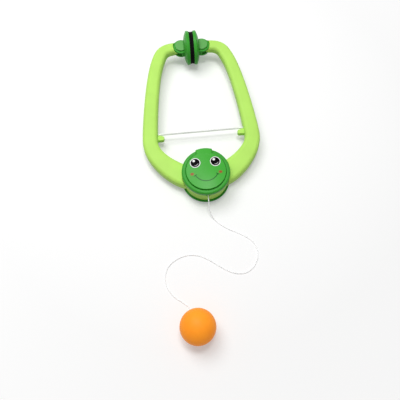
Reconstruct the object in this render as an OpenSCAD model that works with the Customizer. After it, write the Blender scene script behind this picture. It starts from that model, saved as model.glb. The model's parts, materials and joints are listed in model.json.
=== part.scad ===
// Door-frame table tennis trainer: two sprung arms that turn on a round hub and grip an edge
// between rubber-faced pads, with a ball on a string that leaves the hub.
// Millimetres, +Z up. It lies on its back: the hub's rear edge and both pads' rims touch z = 0.
// Most pieces are drawn in the hub's own frame (hub axis on Z, rear face at 0, pads towards +Y)
// and then laid down by lay().

/* [Frame] */
// Distance from the hub's axis to the pads' pins
reach = 196; // [184:1:216]
// Half width of the frame, from the middle to an arm's centre line at its widest
bow_half = 66; // [62:0.1:76]
// Distance from the hub's axis up to the widest place
bow_y = 53; // [48:1:60]

/* [Arms] */
// Width of an arm where it leaves the hub
arm_w_root = 28; // [24:0.5:29]
// Width of an arm along its side
arm_w_side = 19.4; // [17:0.1:22]
// Width of an arm at its tip
arm_w_tip = 15.6; // [15:0.1:18]
// Thickness of an arm at the hub
arm_t_root = 14.7; // [13.5:0.1:14.7]
// Thickness of an arm at its tip
arm_t_tip = 12; // [11:0.1:13.5]
// Rounding of the arms' front edges
front_round = 5; // [3:0.5:6]
// Rounding of the arms' rear edges
rear_round = 3.2; // [2:0.1:3.4]
// Wall of the moulded arm shells
wall = 2; // [1.6:0.1:2.4]

/* [Hub] */
// Radius of the face plate
face_r = 24.3; // [22.8:0.1:26]
// Width of the front cover's rim round the face plate
rim_w = 5.4; // [4.8:0.1:6.5]
// Radius of the rear cover
rear_r = 30.2; // [29:0.1:31]
// Radius of the light band between the covers
band_r = 28; // [27:0.1:28.6]
// Radius of the drum that the arms turn on
drum_r = 12; // [11:0.5:14]
// Thickness of the rear cover's flange
rear_t = 3.6; // [3:0.1:4.5]
// Thickness of each arm's eye ring
eye_t = 5.1; // [4.5:0.1:5.4]
// Height of the ring that the string leaves through
cord_ring_h = 8.6; // [7.6:0.1:10]
// Height of the front cover's skirt
skirt_h = 7.3; // [6.5:0.1:9]
// Height of the face plate's edge above the rim
face_proud = 1.5; // [0:0.1:2.5]
// Height of the face plate's crown above its edge
face_crown = 1.3; // [0.6:0.1:2]
// Width of the face plate's lip, which lies in a notch of the rim
lip_w = 20.6; // [16:0.2:26]

/* [Pads] */
// Diameter of a pad's plate
pad_d = 45.6; // [42:0.2:50]
// Thickness of a pad's rubber face
rubber_t = 2.7; // [2:0.1:3.5]
// Distance from the middle to a pad's pin
pin_x = 14.2; // [13.8:0.1:15.6]
// Radius of a pad's pin
pin_r = 2.5; // [2:0.1:2.8]
// Radius of the pad's ears
ear_r = 10.9; // [10.2:0.1:11.6]
// Thickness of one ear
ear_t = 2.4; // [2:0.1:3]
// Radius of the pin's round cap
cap_r = 8.3; // [7:0.1:9]
// Height of the pin's cap
cap_h = 2.3; // [1.5:0.1:3]
// Thickness of the arm's tongue between the ears
tongue_t = 4.2; // [3.6:0.1:4.2]

/* [Elastic and string] */
// Diameter of the elastic cord
elastic_d = 3; // [2.4:0.1:3.2]
// Distance from the hub's axis up to the elastic
elastic_y = 65.6; // [62:0.1:70]
// Diameter of the string
string_d = 1.2; // [1:0.1:1.4]
// Diameter of the ball
ball_d = 40; // [38:0.5:42]
// Wall of the hollow ball
ball_wall = 0.5; // [0.4:0.1:0.8]
// Diameter of the string's hole in the hub's band
exit_d = 5; // [4:0.2:5.6]

/* [Hidden] */
$fn = 64;

light_green = "#b4e66a";
dark_green = "#3f9a35";
face_green = "#55b348";
black_rubber = "#1b171a";
steel = "#b9bcc0";
white = "#f4f4f0";
ball_orange = "#ff9a2c";

// Clearances
run_gap = 0.3;    // between flat faces that slide on each other
bore_gap = 0.06;  // radial, between a shaft and the bore that turns on it
fit_gap = 0.02;   // radial, between a shaft and a bore that holds it
body_gap = 1.6;   // radial, between the band and the arms' full section
tip_gap = 0.6;    // radial, between an ear and the arm's hollow tip
eps = 0.5;        // overlap that fuses two solids, or run-out of a cut

// Heights in the hub, from the rear face up
rear_eye_z = rear_t + run_gap;
front_eye_z = rear_eye_z + eye_t + run_gap;
cord_ring_z = front_eye_z + eye_t + run_gap;
skirt_z = cord_ring_z + cord_ring_h;
cover_top = skirt_z + skirt_h;
mid_z = rear_eye_z + arm_t_root / 2;   // the arms' middle plane
part_z = mid_z - tongue_t / 2;         // where an arm's two shells meet

// Rear cover
rear_flat_r = rear_r - 2;              // its flat part, on which the hub rests
body_cut_r = band_r + body_gap;        // hollow end of the arms' full section

// Front cover and face plate
front_r = face_r + rim_w;
cover_roof = 2;                        // thickness of the cover under the face plate
well_depth = 1.6;
well_z = cover_top - well_depth;
well_gap = 0.9;                        // groove between the face plate and the rim
face_z = cover_top + face_proud;       // top of the face plate's edge
face_round = 0.9;
cover_wall = 4.8;                      // thickness of the skirt
cover_wall_r = front_r - cover_wall;
cover_round = 2.5;
lip_out = 0.7;                         // how far the lip stands out past the rim
lip_sink = 1;                          // depth of its notch in the rim
lip_z = cover_top + 0.6;               // top of the lip at its end
lip_gap = 0.15;

// Cover screws: three, through the drum into bosses on the front cover
screw_ring_r = drum_r - 5.5;
screw_seat_z = 8;
cover_boss_r = 3;
cover_screw = [1.2, 2.9, 2.2, 14];     // shank radius, head radius, head height, length
screw_count = 3;

// String's ring
cord_floor = 1.5;
cord_floor_r = drum_r - 1.8;
cord_wall_r = band_r - 3.5;
exit_z = cord_ring_z + cord_ring_h / 2;
post_r = 1.5;
post_y = cord_floor_r + 4.8;

// Pads
pad_r = pad_d / 2;
face_gap = 0.15;                       // half the gap between the two rubber faces
plate_x = face_gap + rubber_t;         // back of the rubber
saucer_rim = 4.6;                      // thickness of the plate at its rim
saucer_crown = 8.1;                    // thickness of the plate in the middle
saucer_power = 3.4;                    // how flat the plate's dome stays towards its rim
rim_round = 1.6;
rubber_inset = 1.6;                    // the rubber's edge lies this far inside the plate's
cap_flat_x = plate_x + saucer_crown + 0.1; // flat side of the pin's cap, against the dome
tongue_r = 6;                          // eye at the tongue's end
slot_half = tongue_t / 2 + run_gap;
ear_z = slot_half + ear_t;             // outer face of an ear, from the middle plane
rear_boss_z = ear_z + cap_h;           // rear ear's boss ends level with the front cap

// Where the clamp lies: the pads' rims and the rear cover's edge touch the ground
span = reach + rear_flat_r;
tilt = asin(pad_r / sqrt(span * span + mid_z * mid_z)) - atan2(mid_z, span);
lift = rear_flat_r * sin(tilt);
low_y = -front_r * cos(tilt) - (cover_top - cover_round) * sin(tilt);
high_y = reach * cos(tilt) - mid_z * sin(tilt) + pad_r;
hub_y = -(low_y + high_y) / 2;

// Arm's centre line: three Bezier stretches from the hub by the bow and the shoulder to the tip
root_p = [26.8, 3.2];
root_turn = 25.5;                      // direction at the hub, from +X
root_run = 10;                         // straight stretch inside the hub
shoulder = [bow_half - 17.5, reach - 21.2];
shoulder_turn = 110.5;                  // direction at the shoulder, from +X
tip_p = [pin_x + 5.8, reach + 0.5];
bow_p = [bow_half, bow_y];
root_dir = [cos(root_turn), sin(root_turn)];
shoulder_dir = [cos(shoulder_turn), sin(shoulder_turn)];
stretches = [
    [root_p, root_p + 15 * root_dir, bow_p - [0, 22], bow_p],
    [bow_p, bow_p + [0, 17], shoulder - 31 * shoulder_dir, shoulder],
    [shoulder, shoulder + 15 * shoulder_dir, tip_p + [21, 0], tip_p]
];
steps = [11, 9, 9];
arm_w = [arm_w_root, arm_w_side, arm_w_side - 2, arm_w_tip];
arm_t = [
    arm_t_root,
    arm_t_root - 0.3 * (arm_t_root - arm_t_tip),
    arm_t_root - 0.7 * (arm_t_root - arm_t_tip),
    arm_t_tip
];
cavity_from = 3;                       // stations that stay solid at the hub
cavity_to = 3;                         // stations that stay solid at the tip

// Arm screws: [stretch, place along it]
arm_screw_at = [[0, 0.42], [1, 0.42], [2, 0.22]];
arm_screw = [1.1, 2.6, 1.8, 8];        // shank radius, head radius, head height, length
arm_boss_r = 3.9;
arm_seat_z = part_z - 2;               // underside of the heads, sunk into the rear shell

// Elastic and its lugs
elastic_r = elastic_d / 2;
inner_x = bow_half - arm_w_side / 2;   // arm's inner side beside the elastic
elastic_hole_r = elastic_r + 0.25;
lug_len = 8.5;
lug_w = 8;
lug_h = 3.25;                          // half its thickness, on each shell
lug_round = 2.5;
lug_y = elastic_y - elastic_r - 0.5 - lug_w;
knot_r = 2.7;
knot_x = inner_x + wall + knot_r + run_gap;

// String's route on the ground, from the hole in the band to the ball
string_r = string_d / 2;
low = string_r;                        // height of the string where it lies on the ground
route = [
    [0, -120, 19], [0, -124, 19], [-0.1, -128, 18.2], [-0.2, -132, 15.6], [0.1, -136, 11.6],
    [1.1, -140, 7], [3.2, -144.2, 2.6], [7, -149.3, 0.8], [12.8, -155, low], [21, -161, low],
    [29.8, -166, low], [38.5, -171.2, low], [46, -177, low], [51, -185, low], [52.5, -194.8, low],
    [49.6, -204.4, low], [43.3, -212.3, low], [34.2, -216.9, low], [23.8, -216.6, low],
    [14.2, -212.5, low], [5.7, -206.7, low], [-2.2, -200.7, low], [-10.3, -195, low],
    [-19.2, -190.8, low], [-29, -189.2, low], [-38.3, -190.3, low], [-47.4, -194.1, low],
    [-55, -200.2, low], [-59.5, -209, low], [-60.3, -219.1, low], [-57.4, -228.3, low],
    [-51.4, -236.7, low], [-43.7, -243, low], [-37.6, -248, low], [-34.2, -252.2, 0.9],
    [-32.6, -255.8, 2], [-31.6, -258.2, 3.8], [-31, -260.4, 6]
];
string_sides = 8;
ball_r = ball_d / 2;
route_end = route[len(route) - 1];
ball_seen_r = ball_r + 0.1;            // the string ends just outside the ball
ball_side = sqrt(pow(ball_seen_r, 2) - pow(ball_r - route_end[2], 2));
ball_turn = -76;                       // direction from the string's end to the ball, from +X
ball_at = [route_end[0] + ball_side * cos(ball_turn), route_end[1] + ball_side * sin(ball_turn), ball_r];
ball_knot_r = 1.5;
ball_knot_in = ball_r - ball_wall - ball_knot_r - 0.4; // knot's distance from the ball's middle

// ---------- functions ----------

function ease(t) = t * t * (3 - 2 * t);
function unit(v) = v / norm(v);

// Point and direction on a cubic Bezier
function bezier(p, t) =
    pow(1 - t, 3) * p[0] + 3 * pow(1 - t, 2) * t * p[1]
    + 3 * (1 - t) * t * t * p[2] + pow(t, 3) * p[3];
function bezier_dir(p, t) = unit(
    pow(1 - t, 2) * (p[1] - p[0]) + 2 * (1 - t) * t * (p[2] - p[1]) + t * t * (p[3] - p[2]));

function between(list, k, t) = list[k] + (list[k + 1] - list[k]) * ease(t);
function arm_point(k, t) = bezier(stretches[k], t);
function arm_width(k, t) = between(arm_w, k, t);
function arm_thick(k, t) = between(arm_t, k, t);

// Stations along an arm: [point, direction, width, thickness]
stations = concat(
    [[root_p - root_run * root_dir, root_dir, arm_w_root, arm_t_root]],
    [for (k = [0:2], i = [(k == 0 ? 0 : 1):steps[k]])
        let (t = i / steps[k])
        [arm_point(k, t), bezier_dir(stretches[k], t), arm_width(k, t), arm_thick(k, t)]]
);

// Half of an arm's section, from its left foot over the crown to its right foot
function half_section(w, h, r, n) = concat(
    [[-w / 2, 0]],
    [for (i = [0:n]) let (a = 180 - 90 * i / n) [-w / 2 + r + r * cos(a), h - r + r * sin(a)]],
    [for (i = [0:n]) let (a = 90 - 90 * i / n) [w / 2 - r + r * cos(a), h - r + r * sin(a)]],
    [[w / 2, 0]]
);

// A station's section placed in space, standing on the parting plane at z = 0
function placed(s, section) = [
    for (q = section) [s[0][0] + q[0] * s[1][1], s[0][1] - q[0] * s[1][0], q[1]]
];

// Triangles between two rings of m points, where the first ring starts at point a
function skin(a, b, m) = [
    for (p = [0:m - 2]) each [[a + p, b + p, b + p + 1], [a + p, b + p + 1, a + p + 1]]
];
function fan(loop) = [for (i = [1:len(loop) - 2]) [loop[0], loop[i], loop[i + 1]]];
function flipped(faces) = [for (f = faces) [f[0], f[2], f[1]]];
function count_up(a, m) = [for (i = [0:m - 1]) a + i];

// Point of the hub's frame after the clamp is laid down
function laid(p) = [
    p[0],
    hub_y + p[1] * cos(tilt) - p[2] * sin(tilt),
    lift + p[1] * sin(tilt) + p[2] * cos(tilt)
];

// Smooth curve through a list of points, two steps for each pair
function curve(p, a, t) =
    let (
        n = len(p) - 1,
        p0 = p[max(a - 1, 0)], p1 = p[a], p2 = p[min(a + 1, n)], p3 = p[min(a + 2, n)]
    )
    0.5 * (2 * p1 + (p2 - p0) * t + (2 * p0 - 5 * p1 + 4 * p2 - p3) * t * t
        + (3 * p1 - p0 - 3 * p2 + p3) * t * t * t);
function curve_points(p, n) = concat(
    [for (a = [0:len(p) - 2], i = [0:n - 1]) curve(p, a, i / n)],
    [p[len(p) - 1]]
);

// ---------- shared shapes ----------

module lay() {
    translate([0, hub_y, lift]) rotate([tilt, 0, 0]) children();
}

// Swaps sides: +1 draws the right arm, -1 the left one
module side(s) {
    if (s > 0) children();
    else mirror([1, 0, 0]) children();
}

module tube(points, r, sides) {
    n = len(points);
    dirs = [for (i = [0:n - 1]) unit(points[min(i + 1, n - 1)] - points[max(i - 1, 0)])];
    verts = [
        for (i = [0:n - 1])
        let (across = unit(cross(dirs[i], [0.02, 0.03, 1])), up = cross(across, dirs[i]))
        for (k = [0:sides - 1])
        let (a = 360 * (k + 0.5) / sides)
        points[i] + r * (cos(a) * across + sin(a) * up)
    ];
    walls = [
        for (i = [0:n - 2], k = [0:sides - 1])
        let (a = i * sides + k, b = i * sides + (k + 1) % sides)
        each [[a, b, b + sides], [a, b + sides, a + sides]]
    ];
    start = fan([for (k = [0:sides - 1]) sides - 1 - k]);
    end = fan(count_up((n - 1) * sides, sides));
    polyhedron(verts, flipped(concat(walls, start, end)));
}

module ring(r_out, r_in, z, h) {
    translate([0, 0, z]) difference() {
        cylinder(r = r_out, h = h);
        translate([0, 0, -eps]) cylinder(r = r_in, h = h + 2 * eps);
    }
}

module post(p, r, z0, z1) {
    translate([p[0], p[1], z0]) cylinder(r = r, h = z1 - z0);
}

// A pan-head screw that points up, with the underside of its head at z = 0
module screw(size) {
    cylinder(r = size[0], h = size[3]);
    translate([0, 0, -size[2]]) cylinder(r1 = size[1] * 0.86, r2 = size[1], h = size[2]);
}

// ---------- hub ----------

module cover_screw_spots() {
    for (i = [0:screw_count - 1]) rotate([0, 0, 90 + i * 360 / screw_count])
        translate([screw_ring_r, 0, 0]) children();
}

module front_cover() color(dark_green) lay() {
    skirt = [
        [0, well_z - cover_roof], [cover_wall_r, well_z - cover_roof],
        [cover_wall_r, skirt_z], [front_r - 0.9, skirt_z],
        [front_r - 0.3, skirt_z + 0.7], [front_r, skirt_z + 1.9]
    ];
    edge = [
        for (i = [0:5]) let (a = 18 * i)
        [front_r - cover_round + cover_round * cos(a), cover_top - cover_round + cover_round * sin(a)]
    ];
    well_r = face_r + well_gap;
    well = [[well_r + 0.3, cover_top], [well_r, cover_top - 0.3], [well_r, well_z], [0, well_z]];
    difference() {
        union() {
            rotate_extrude() polygon(concat(skirt, edge, well));
            cover_screw_spots() post([0, 0], cover_boss_r, cord_ring_z, well_z - cover_roof / 2);
        }
        cover_screw_spots()
            post([0, 0], cover_screw[0] + fit_gap, cord_ring_z - eps, screw_seat_z + cover_screw[3] + 1);
        translate([-lip_w / 2 - lip_gap, 0, cover_top - lip_sink])
            cube([lip_w + 2 * lip_gap, 2 * front_r, 2 * lip_sink]);
    }
}

module face_plate() color(face_green) lay() {
    rim_r = face_r - face_round;
    rim = [
        for (i = [0:3]) let (a = 22.5 * i)
        [rim_r + face_round * cos(a), face_z - face_round + face_round * sin(a)]
    ];
    crown = [
        for (i = [8:-1:0]) let (r = rim_r * i / 8)
        [r, face_z + face_crown * (1 - pow(r / rim_r, 2))]
    ];
    rotate_extrude() polygon(concat([[0, well_z], [face_r, well_z]], rim, crown));
    lip_r = front_r + lip_out;
    lip_low = cover_top - lip_sink;
    intersection() {
        rotate_extrude() polygon([
            [face_r - 2, lip_low], [lip_r - 0.4, lip_low], [lip_r, lip_low + 0.4],
            [lip_r, lip_z - 0.9], [lip_r - 0.3, lip_z - 0.3], [lip_r - 0.9, lip_z],
            [face_r, face_z - face_round], [face_r - 2, face_z - face_round]
        ]);
        translate([-lip_w / 2, 0, 0]) cube([lip_w, 2 * front_r, 2 * cover_top]);
    }
}

module rear_cover() color(dark_green) lay() difference() {
    rotate_extrude() polygon([
        [0, 0], [rear_flat_r, 0], [rear_flat_r + 1.4, 0.7], [rear_r, 1.8],
        [rear_r, rear_t - 0.4], [rear_r - 0.4, rear_t], [drum_r, rear_t],
        [drum_r, cord_ring_z], [0, cord_ring_z]
    ]);
    post([0, 0], screw_ring_r - cover_boss_r - 0.5, rear_t + 2, cord_ring_z + eps);
    cover_screw_spots() {
        post([0, 0], cover_screw[0] + 0.4, -eps, cord_ring_z + eps);
        post([0, 0], cover_screw[1] + 0.3, -eps, screw_seat_z);
    }
}

module cord_ring() color(light_green) lay() {
    difference() {
        union() {
            ring(band_r, cord_floor_r, cord_ring_z, cord_floor);
            ring(band_r, cord_wall_r, cord_ring_z, cord_ring_h);
        }
        translate([0, -cord_wall_r + 2, exit_z]) rotate([90, 0, 0])
            cylinder(r = exit_d / 2, h = band_r - cord_wall_r + 4);
    }
    post([0, -post_y], post_r, cord_ring_z + cord_floor - eps, skirt_z - 1);
}

module cover_screws() color(steel) lay()
    cover_screw_spots() translate([0, 0, screw_seat_z]) screw(cover_screw);

// ---------- arms ----------

// One moulded half of an arm that stands on the parting plane, open below
module half_arm(front) {
    k_out = 4;
    k_in = 2;
    m = 2 * k_out + 4;
    q = 2 * k_in + 4;
    n = len(stations);
    a = cavity_from;
    b = n - 1 - cavity_to;
    round_to = front ? front_round : rear_round;
    offset_z = front ? mid_z - part_z : part_z - mid_z;
    height = [for (s = stations) s[3] / 2 + offset_z];
    round_r = [for (h = height) min(round_to, h - 0.4)];
    outer = [
        for (i = [0:n - 1])
        each placed(stations[i], half_section(stations[i][2], height[i], round_r[i], k_out))
    ];
    inner = [
        for (i = [a:b])
        each placed(stations[i], half_section(
            stations[i][2] - 2 * wall, height[i] - wall, max(round_r[i] - wall, 0.6), k_in))
    ];
    first = n * m;                     // the first inner point
    outer_skin = [for (i = [0:n - 2]) each skin(i * m, (i + 1) * m, m)];
    inner_skin = [for (i = [a:b - 1]) each skin(first + (i - a) * q, first + (i + 1 - a) * q, q)];
    ends = concat(
        fan(count_up(0, m)), flipped(fan(count_up((n - 1) * m, m))),
        flipped(fan(count_up(first, q))), fan(count_up(first + (b - a) * q, q))
    );
    solid_foot = [
        for (i = [0:n - 2]) if (i < a - 1 || i > b)
        each fan([i * m, i * m + m - 1, (i + 1) * m + m - 1, (i + 1) * m])
    ];
    rims = [
        for (i = [a:b - 1])
        let (o = i * m, u = first + (i - a) * q)
        each concat(
            fan([o, u, u + q, o + m]),
            fan([u + q - 1, o + m - 1, o + 2 * m - 1, u + 2 * q - 1]))
    ];
    low = (a - 1) * m;
    high = (b + 1) * m;
    last = first + (b - a) * q;
    mouth_ends = concat(
        fan([low, low + m - 1, low + 2 * m - 1, first + q - 1, first, low + m]),
        fan([high, high - m, last, last + q - 1, high - 1, high + m - 1])
    );
    polyhedron(
        concat(outer, inner),
        concat(outer_skin, flipped(inner_skin), ends, solid_foot, rims, mouth_ends)
    );
}

// Half of the lug under the elastic, above the parting plane
module half_lug() {
    tip_x = inner_x - lug_len;
    translate([tip_x + lug_round, lug_y, 0]) cube([lug_len + wall / 2 - lug_round, lug_w, lug_h]);
    translate([tip_x, lug_y + lug_round, 0]) cube([lug_round + eps, lug_w - 2 * lug_round, lug_h]);
    for (y = [lug_y + lug_round, lug_y + lug_w - lug_round])
        post([tip_x + lug_round, y], lug_round, 0, lug_h);
}

// The elastic's hole through the inner wall, half in each shell
module elastic_hole() {
    translate([inner_x - 3, elastic_y, part_z]) rotate([0, 90, 0])
        cylinder(r = elastic_hole_r, h = wall + 5);
}

module arm_front(has_eye) difference() {
    union() {
        translate([0, 0, part_z]) {
            half_arm(true);
            half_lug();
        }
        for (s = arm_screw_at) {
            top = mid_z + arm_thick(s[0], s[1]) / 2;
            post(arm_point(s[0], s[1]), arm_boss_r, part_z, top - wall / 2);
        }
        if (has_eye) ring(band_r, drum_r + bore_gap, front_eye_z, eye_t);
        translate([pin_x, reach - tongue_r, mid_z - tongue_t / 2])
            cube([tip_gap + ear_r + 4, 2 * tongue_r, tongue_t]);
        post([pin_x, reach], tongue_r, mid_z - tongue_t / 2, mid_z + tongue_t / 2);
    }
    for (s = arm_screw_at)
        post(arm_point(s[0], s[1]), arm_screw[0] + fit_gap, part_z - eps, arm_seat_z + arm_screw[3] + 1);
    elastic_hole();
    if (has_eye) post([0, 0], body_cut_r, cord_ring_z - run_gap, cover_top);
    else post([0, 0], body_cut_r, 0, cover_top);
    if (has_eye) post([0, 0], body_cut_r, 0, front_eye_z);
    post([pin_x, reach], pin_r + bore_gap, 0, cover_top);
    for (z = [mid_z + tongue_t / 2, 0])
        post([pin_x, reach], ear_r + tip_gap, z, z > 0 ? cover_top : mid_z - tongue_t / 2);
}

module arm_rear(has_eye) difference() {
    union() {
        translate([0, 0, part_z]) mirror([0, 0, 1]) {
            half_arm(false);
            half_lug();
        }
        for (s = arm_screw_at) {
            bottom = mid_z - arm_thick(s[0], s[1]) / 2;
            post(arm_point(s[0], s[1]), arm_boss_r, bottom + wall / 2, part_z);
        }
        if (has_eye) ring(band_r, drum_r + bore_gap, rear_eye_z, eye_t);
    }
    for (s = arm_screw_at) {
        post(arm_point(s[0], s[1]), arm_screw[0] + 0.3, 0, part_z + eps);
        post(arm_point(s[0], s[1]), arm_screw[1] + 0.3, 0, arm_seat_z);
    }
    elastic_hole();
    post([0, 0], body_cut_r, has_eye ? rear_eye_z + eye_t : 0, cover_top);
    post([pin_x, reach], ear_r + tip_gap, 0, cover_top);
}

module arm_screws() {
    for (s = arm_screw_at) {
        p = arm_point(s[0], s[1]);
        translate([p[0], p[1], arm_seat_z]) screw(arm_screw);
    }
}

module left_arm_front() color(light_green) lay() side(-1) arm_front(true);
module left_arm_rear() color(light_green) lay() side(-1) arm_rear(false);
module left_arm_screws() color(steel) lay() side(-1) arm_screws();
module right_arm_front() color(light_green) lay() side(1) arm_front(false);
module right_arm_rear() color(light_green) lay() side(1) arm_rear(true);
module right_arm_screws() color(steel) lay() side(1) arm_screws();

// ---------- pads ----------

// Revolves a profile of [distance from the pad's axis, distance along X]
module about_pad_axis() {
    translate([0, reach, mid_z]) rotate([0, 90, 0]) rotate_extrude() children();
}

module pad_plate() difference() {
    back = plate_x + saucer_rim;
    union() {
        about_pad_axis() polygon(concat(
            [[0, plate_x], [pad_r - 0.5, plate_x]],
            [for (i = [0:4]) let (a = -30 + 30 * i)
                [pad_r - rim_round + rim_round * cos(a), back - rim_round + rim_round * sin(a)]],
            [for (i = [7:-1:0]) let (r = (pad_r - rim_round) * i / 8)
                [r, back + (saucer_crown - saucer_rim) * (1 - pow(r / (pad_r - rim_round), saucer_power))]]
        ));
        difference() {
            union() {
                post([pin_x, reach], ear_r, mid_z - ear_z, mid_z + ear_z);
                post([pin_x, reach], cap_r, mid_z - rear_boss_z, mid_z);
            }
            translate([plate_x - 2 * ear_r, reach - 2 * ear_r, 0])
                cube([2 * ear_r, 4 * ear_r, cover_top]);
        }
    }
    post([pin_x, reach], tongue_r + tip_gap, mid_z - slot_half, mid_z + slot_half);
    translate([pin_x, reach - pad_r, mid_z - slot_half]) cube([2 * ear_r, pad_d, 2 * slot_half]);
    post([pin_x, reach], pin_r + fit_gap, mid_z - rear_boss_z + 1.2, cover_top);
}

module pad_pin() {
    post([pin_x, reach], pin_r, mid_z - rear_boss_z + 1.4, mid_z + ear_z + eps);
    difference() {
        translate([pin_x, reach, mid_z + ear_z]) rotate_extrude() polygon([
            [0, 0], [cap_r, 0], [cap_r, cap_h - 0.7], [cap_r - 0.2, cap_h - 0.2], [cap_r - 0.7, cap_h],
            [0, cap_h]
        ]);
        translate([cap_flat_x - 2 * cap_r, reach - 2 * cap_r, 0])
            cube([2 * cap_r, 4 * cap_r, cover_top]);
    }
}

module pad_rubber() {
    r = pad_r - rubber_inset;
    about_pad_axis() polygon([
        [0, face_gap], [r - 0.5, face_gap], [r - 0.15, face_gap + 0.15], [r, face_gap + 0.5],
        [r, plate_x], [0, plate_x]
    ]);
}

module left_pad_plate() color(dark_green) lay() side(-1) pad_plate();
module left_pad_pin() color(dark_green) lay() side(-1) pad_pin();
module left_pad_rubber() color(black_rubber) lay() side(-1) pad_rubber();
module right_pad_plate() color(dark_green) lay() side(1) pad_plate();
module right_pad_pin() color(dark_green) lay() side(1) pad_pin();
module right_pad_rubber() color(black_rubber) lay() side(1) pad_rubber();

// ---------- elastic, string and ball ----------

// Cord between the arms, with a knot inside each arm
module elastic_cord() color(white) lay() {
    translate([-knot_x, elastic_y, part_z]) rotate([0, 90, 0])
        cylinder(r = elastic_r, h = 2 * knot_x);
    for (x = [-knot_x, knot_x]) translate([x, elastic_y, part_z]) sphere(r = knot_r);
}

// The string's end, tied round the post inside the hub
module string_loop() color(white) {
    start = route[0];
    at = [start[0], laid([0, -post_y, exit_z])[1], start[2]];
    loop_r = post_r + string_r + run_gap;
    translate(at) rotate_extrude() translate([loop_r, 0]) circle(r = string_r);
    translate(start) rotate([-90, 0, 0]) cylinder(r = string_r, h = at[1] - start[1] - loop_r);
}

module string() color(white) tube(curve_points(route, 2), string_r, string_sides);

// Turns +Z to the direction from the ball's middle to the string's hole
module to_hole() {
    d = route_end - ball_at;
    translate(ball_at) rotate([0, acos(d[2] / norm(d)), atan2(d[1], d[0])]) children();
}

module ball() color(ball_orange) difference() {
    translate(ball_at) sphere(r = ball_r);
    translate(ball_at) sphere(r = ball_r - ball_wall);
    to_hole() cylinder(r = string_r + 0.15, h = ball_d);
}

module ball_knot() color(white) to_hole() {
    reach_out = norm(route_end - ball_at);
    translate([0, 0, ball_knot_in]) sphere(r = ball_knot_r);
    translate([0, 0, ball_knot_in]) cylinder(r = string_r, h = reach_out - ball_knot_in);
}

front_cover();
face_plate();
rear_cover();
cord_ring();
cover_screws();
left_arm_front();
left_arm_rear();
left_arm_screws();
right_arm_front();
right_arm_rear();
right_arm_screws();
elastic_cord();
left_pad_plate();
left_pad_pin();
left_pad_rubber();
right_pad_plate();
right_pad_pin();
right_pad_rubber();
string_loop();
string();
ball();
ball_knot();
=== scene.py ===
"""Looks of a door-frame table tennis trainer: a sprung clamp with its string and ball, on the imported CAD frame."""

import json
import math
from functools import partial

import bmesh
import bpy
import numpy as np
from bpy.props import FloatProperty, FloatVectorProperty, IntProperty, PointerProperty
from mathutils import Euler, Matrix, Vector


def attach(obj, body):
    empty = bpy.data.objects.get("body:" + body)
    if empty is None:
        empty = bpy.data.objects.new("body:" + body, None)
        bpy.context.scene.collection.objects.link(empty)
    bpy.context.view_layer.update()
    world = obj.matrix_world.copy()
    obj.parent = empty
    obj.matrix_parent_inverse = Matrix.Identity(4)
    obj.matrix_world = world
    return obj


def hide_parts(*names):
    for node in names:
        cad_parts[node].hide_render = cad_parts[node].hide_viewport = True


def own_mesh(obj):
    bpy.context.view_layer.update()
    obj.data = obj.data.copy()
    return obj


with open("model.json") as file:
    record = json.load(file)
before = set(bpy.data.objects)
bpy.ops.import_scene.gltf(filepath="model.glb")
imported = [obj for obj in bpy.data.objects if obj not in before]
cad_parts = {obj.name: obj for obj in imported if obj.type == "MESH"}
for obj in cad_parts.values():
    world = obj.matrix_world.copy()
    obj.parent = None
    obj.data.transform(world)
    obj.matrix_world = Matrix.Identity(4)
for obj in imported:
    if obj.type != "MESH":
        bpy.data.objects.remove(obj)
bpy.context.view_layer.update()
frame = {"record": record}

bl_info = {
    "name": "Table Tennis Trainer Clamp",
    "version": (1, 0, 0),
    "blender": (4, 5, 0),
    "location": "View3D > Sidebar > Trainer",
    "description": "Builds the looks of a door-frame table tennis trainer round its CAD frame",
    "category": "Object",
}

MM = 0.001


# ---------- places from the frame ----------


def by_name(rows, name):
    """The row of a list of records that has that name."""
    return next(row for row in rows if row["name"] == name)


RECORD = frame["record"]
ARM_JOINT = by_name(RECORD["behaviour"]["joints"], "left_arm_open")
HUB_AXIS = Vector(ARM_JOINT["axis"]).normalized()
REAR_FACE = Vector(by_name(RECORD["mounts"], "rear_face")["pos_m"])
TILT = math.atan2(-HUB_AXIS.y, HUB_AXIS.z)
# Millimetres in the hub's own frame (axis on Z, rear face at 0, pads towards +Y) to metres in the row frame
HUB_FRAME = Matrix.Translation(REAR_FACE) @ Matrix.Rotation(TILT, 4, "X") @ Matrix.Scale(MM, 4)
# Millimetres in the row frame to metres
ROW_FRAME = Matrix.Scale(MM, 4)
UP = Vector((0, 0, 1))
ALONG_X = Matrix.Rotation(math.radians(90), 4, "Y")  # lays an upright mesh down along X
# The arms and pads are drawn on the right, and mirrored for the left
SIDES = {"left": Matrix.Scale(-1, 4, Vector((1, 0, 0))), "right": Matrix.Identity(4)}


# ---------- sizes shared with the frame, in millimetres ----------

RUN_GAP = 0.3
BORE_GAP = 0.06
SEAT = 0.02  # between pieces that lie on each other
REACH = 196.0

FACE_R = 24.3
RIM_W = 5.4
FRONT_R = FACE_R + RIM_W
REAR_R = 30.2
BAND_R = 28.0
DRUM_R = 12.0
REAR_T = 3.6
EYE_T = 5.1
CORD_RING_H = 8.6
SKIRT_H = 7.3
ARM_THICKNESSES = (14.7, 13.89, 12.81, 12.0)
REAR_EYE_Z = REAR_T + RUN_GAP
FRONT_EYE_Z = REAR_EYE_Z + EYE_T + RUN_GAP
CORD_RING_Z = FRONT_EYE_Z + EYE_T + RUN_GAP
SKIRT_Z = CORD_RING_Z + CORD_RING_H
COVER_TOP = SKIRT_Z + SKIRT_H
MID_Z = REAR_EYE_Z + ARM_THICKNESSES[0] / 2

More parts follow.
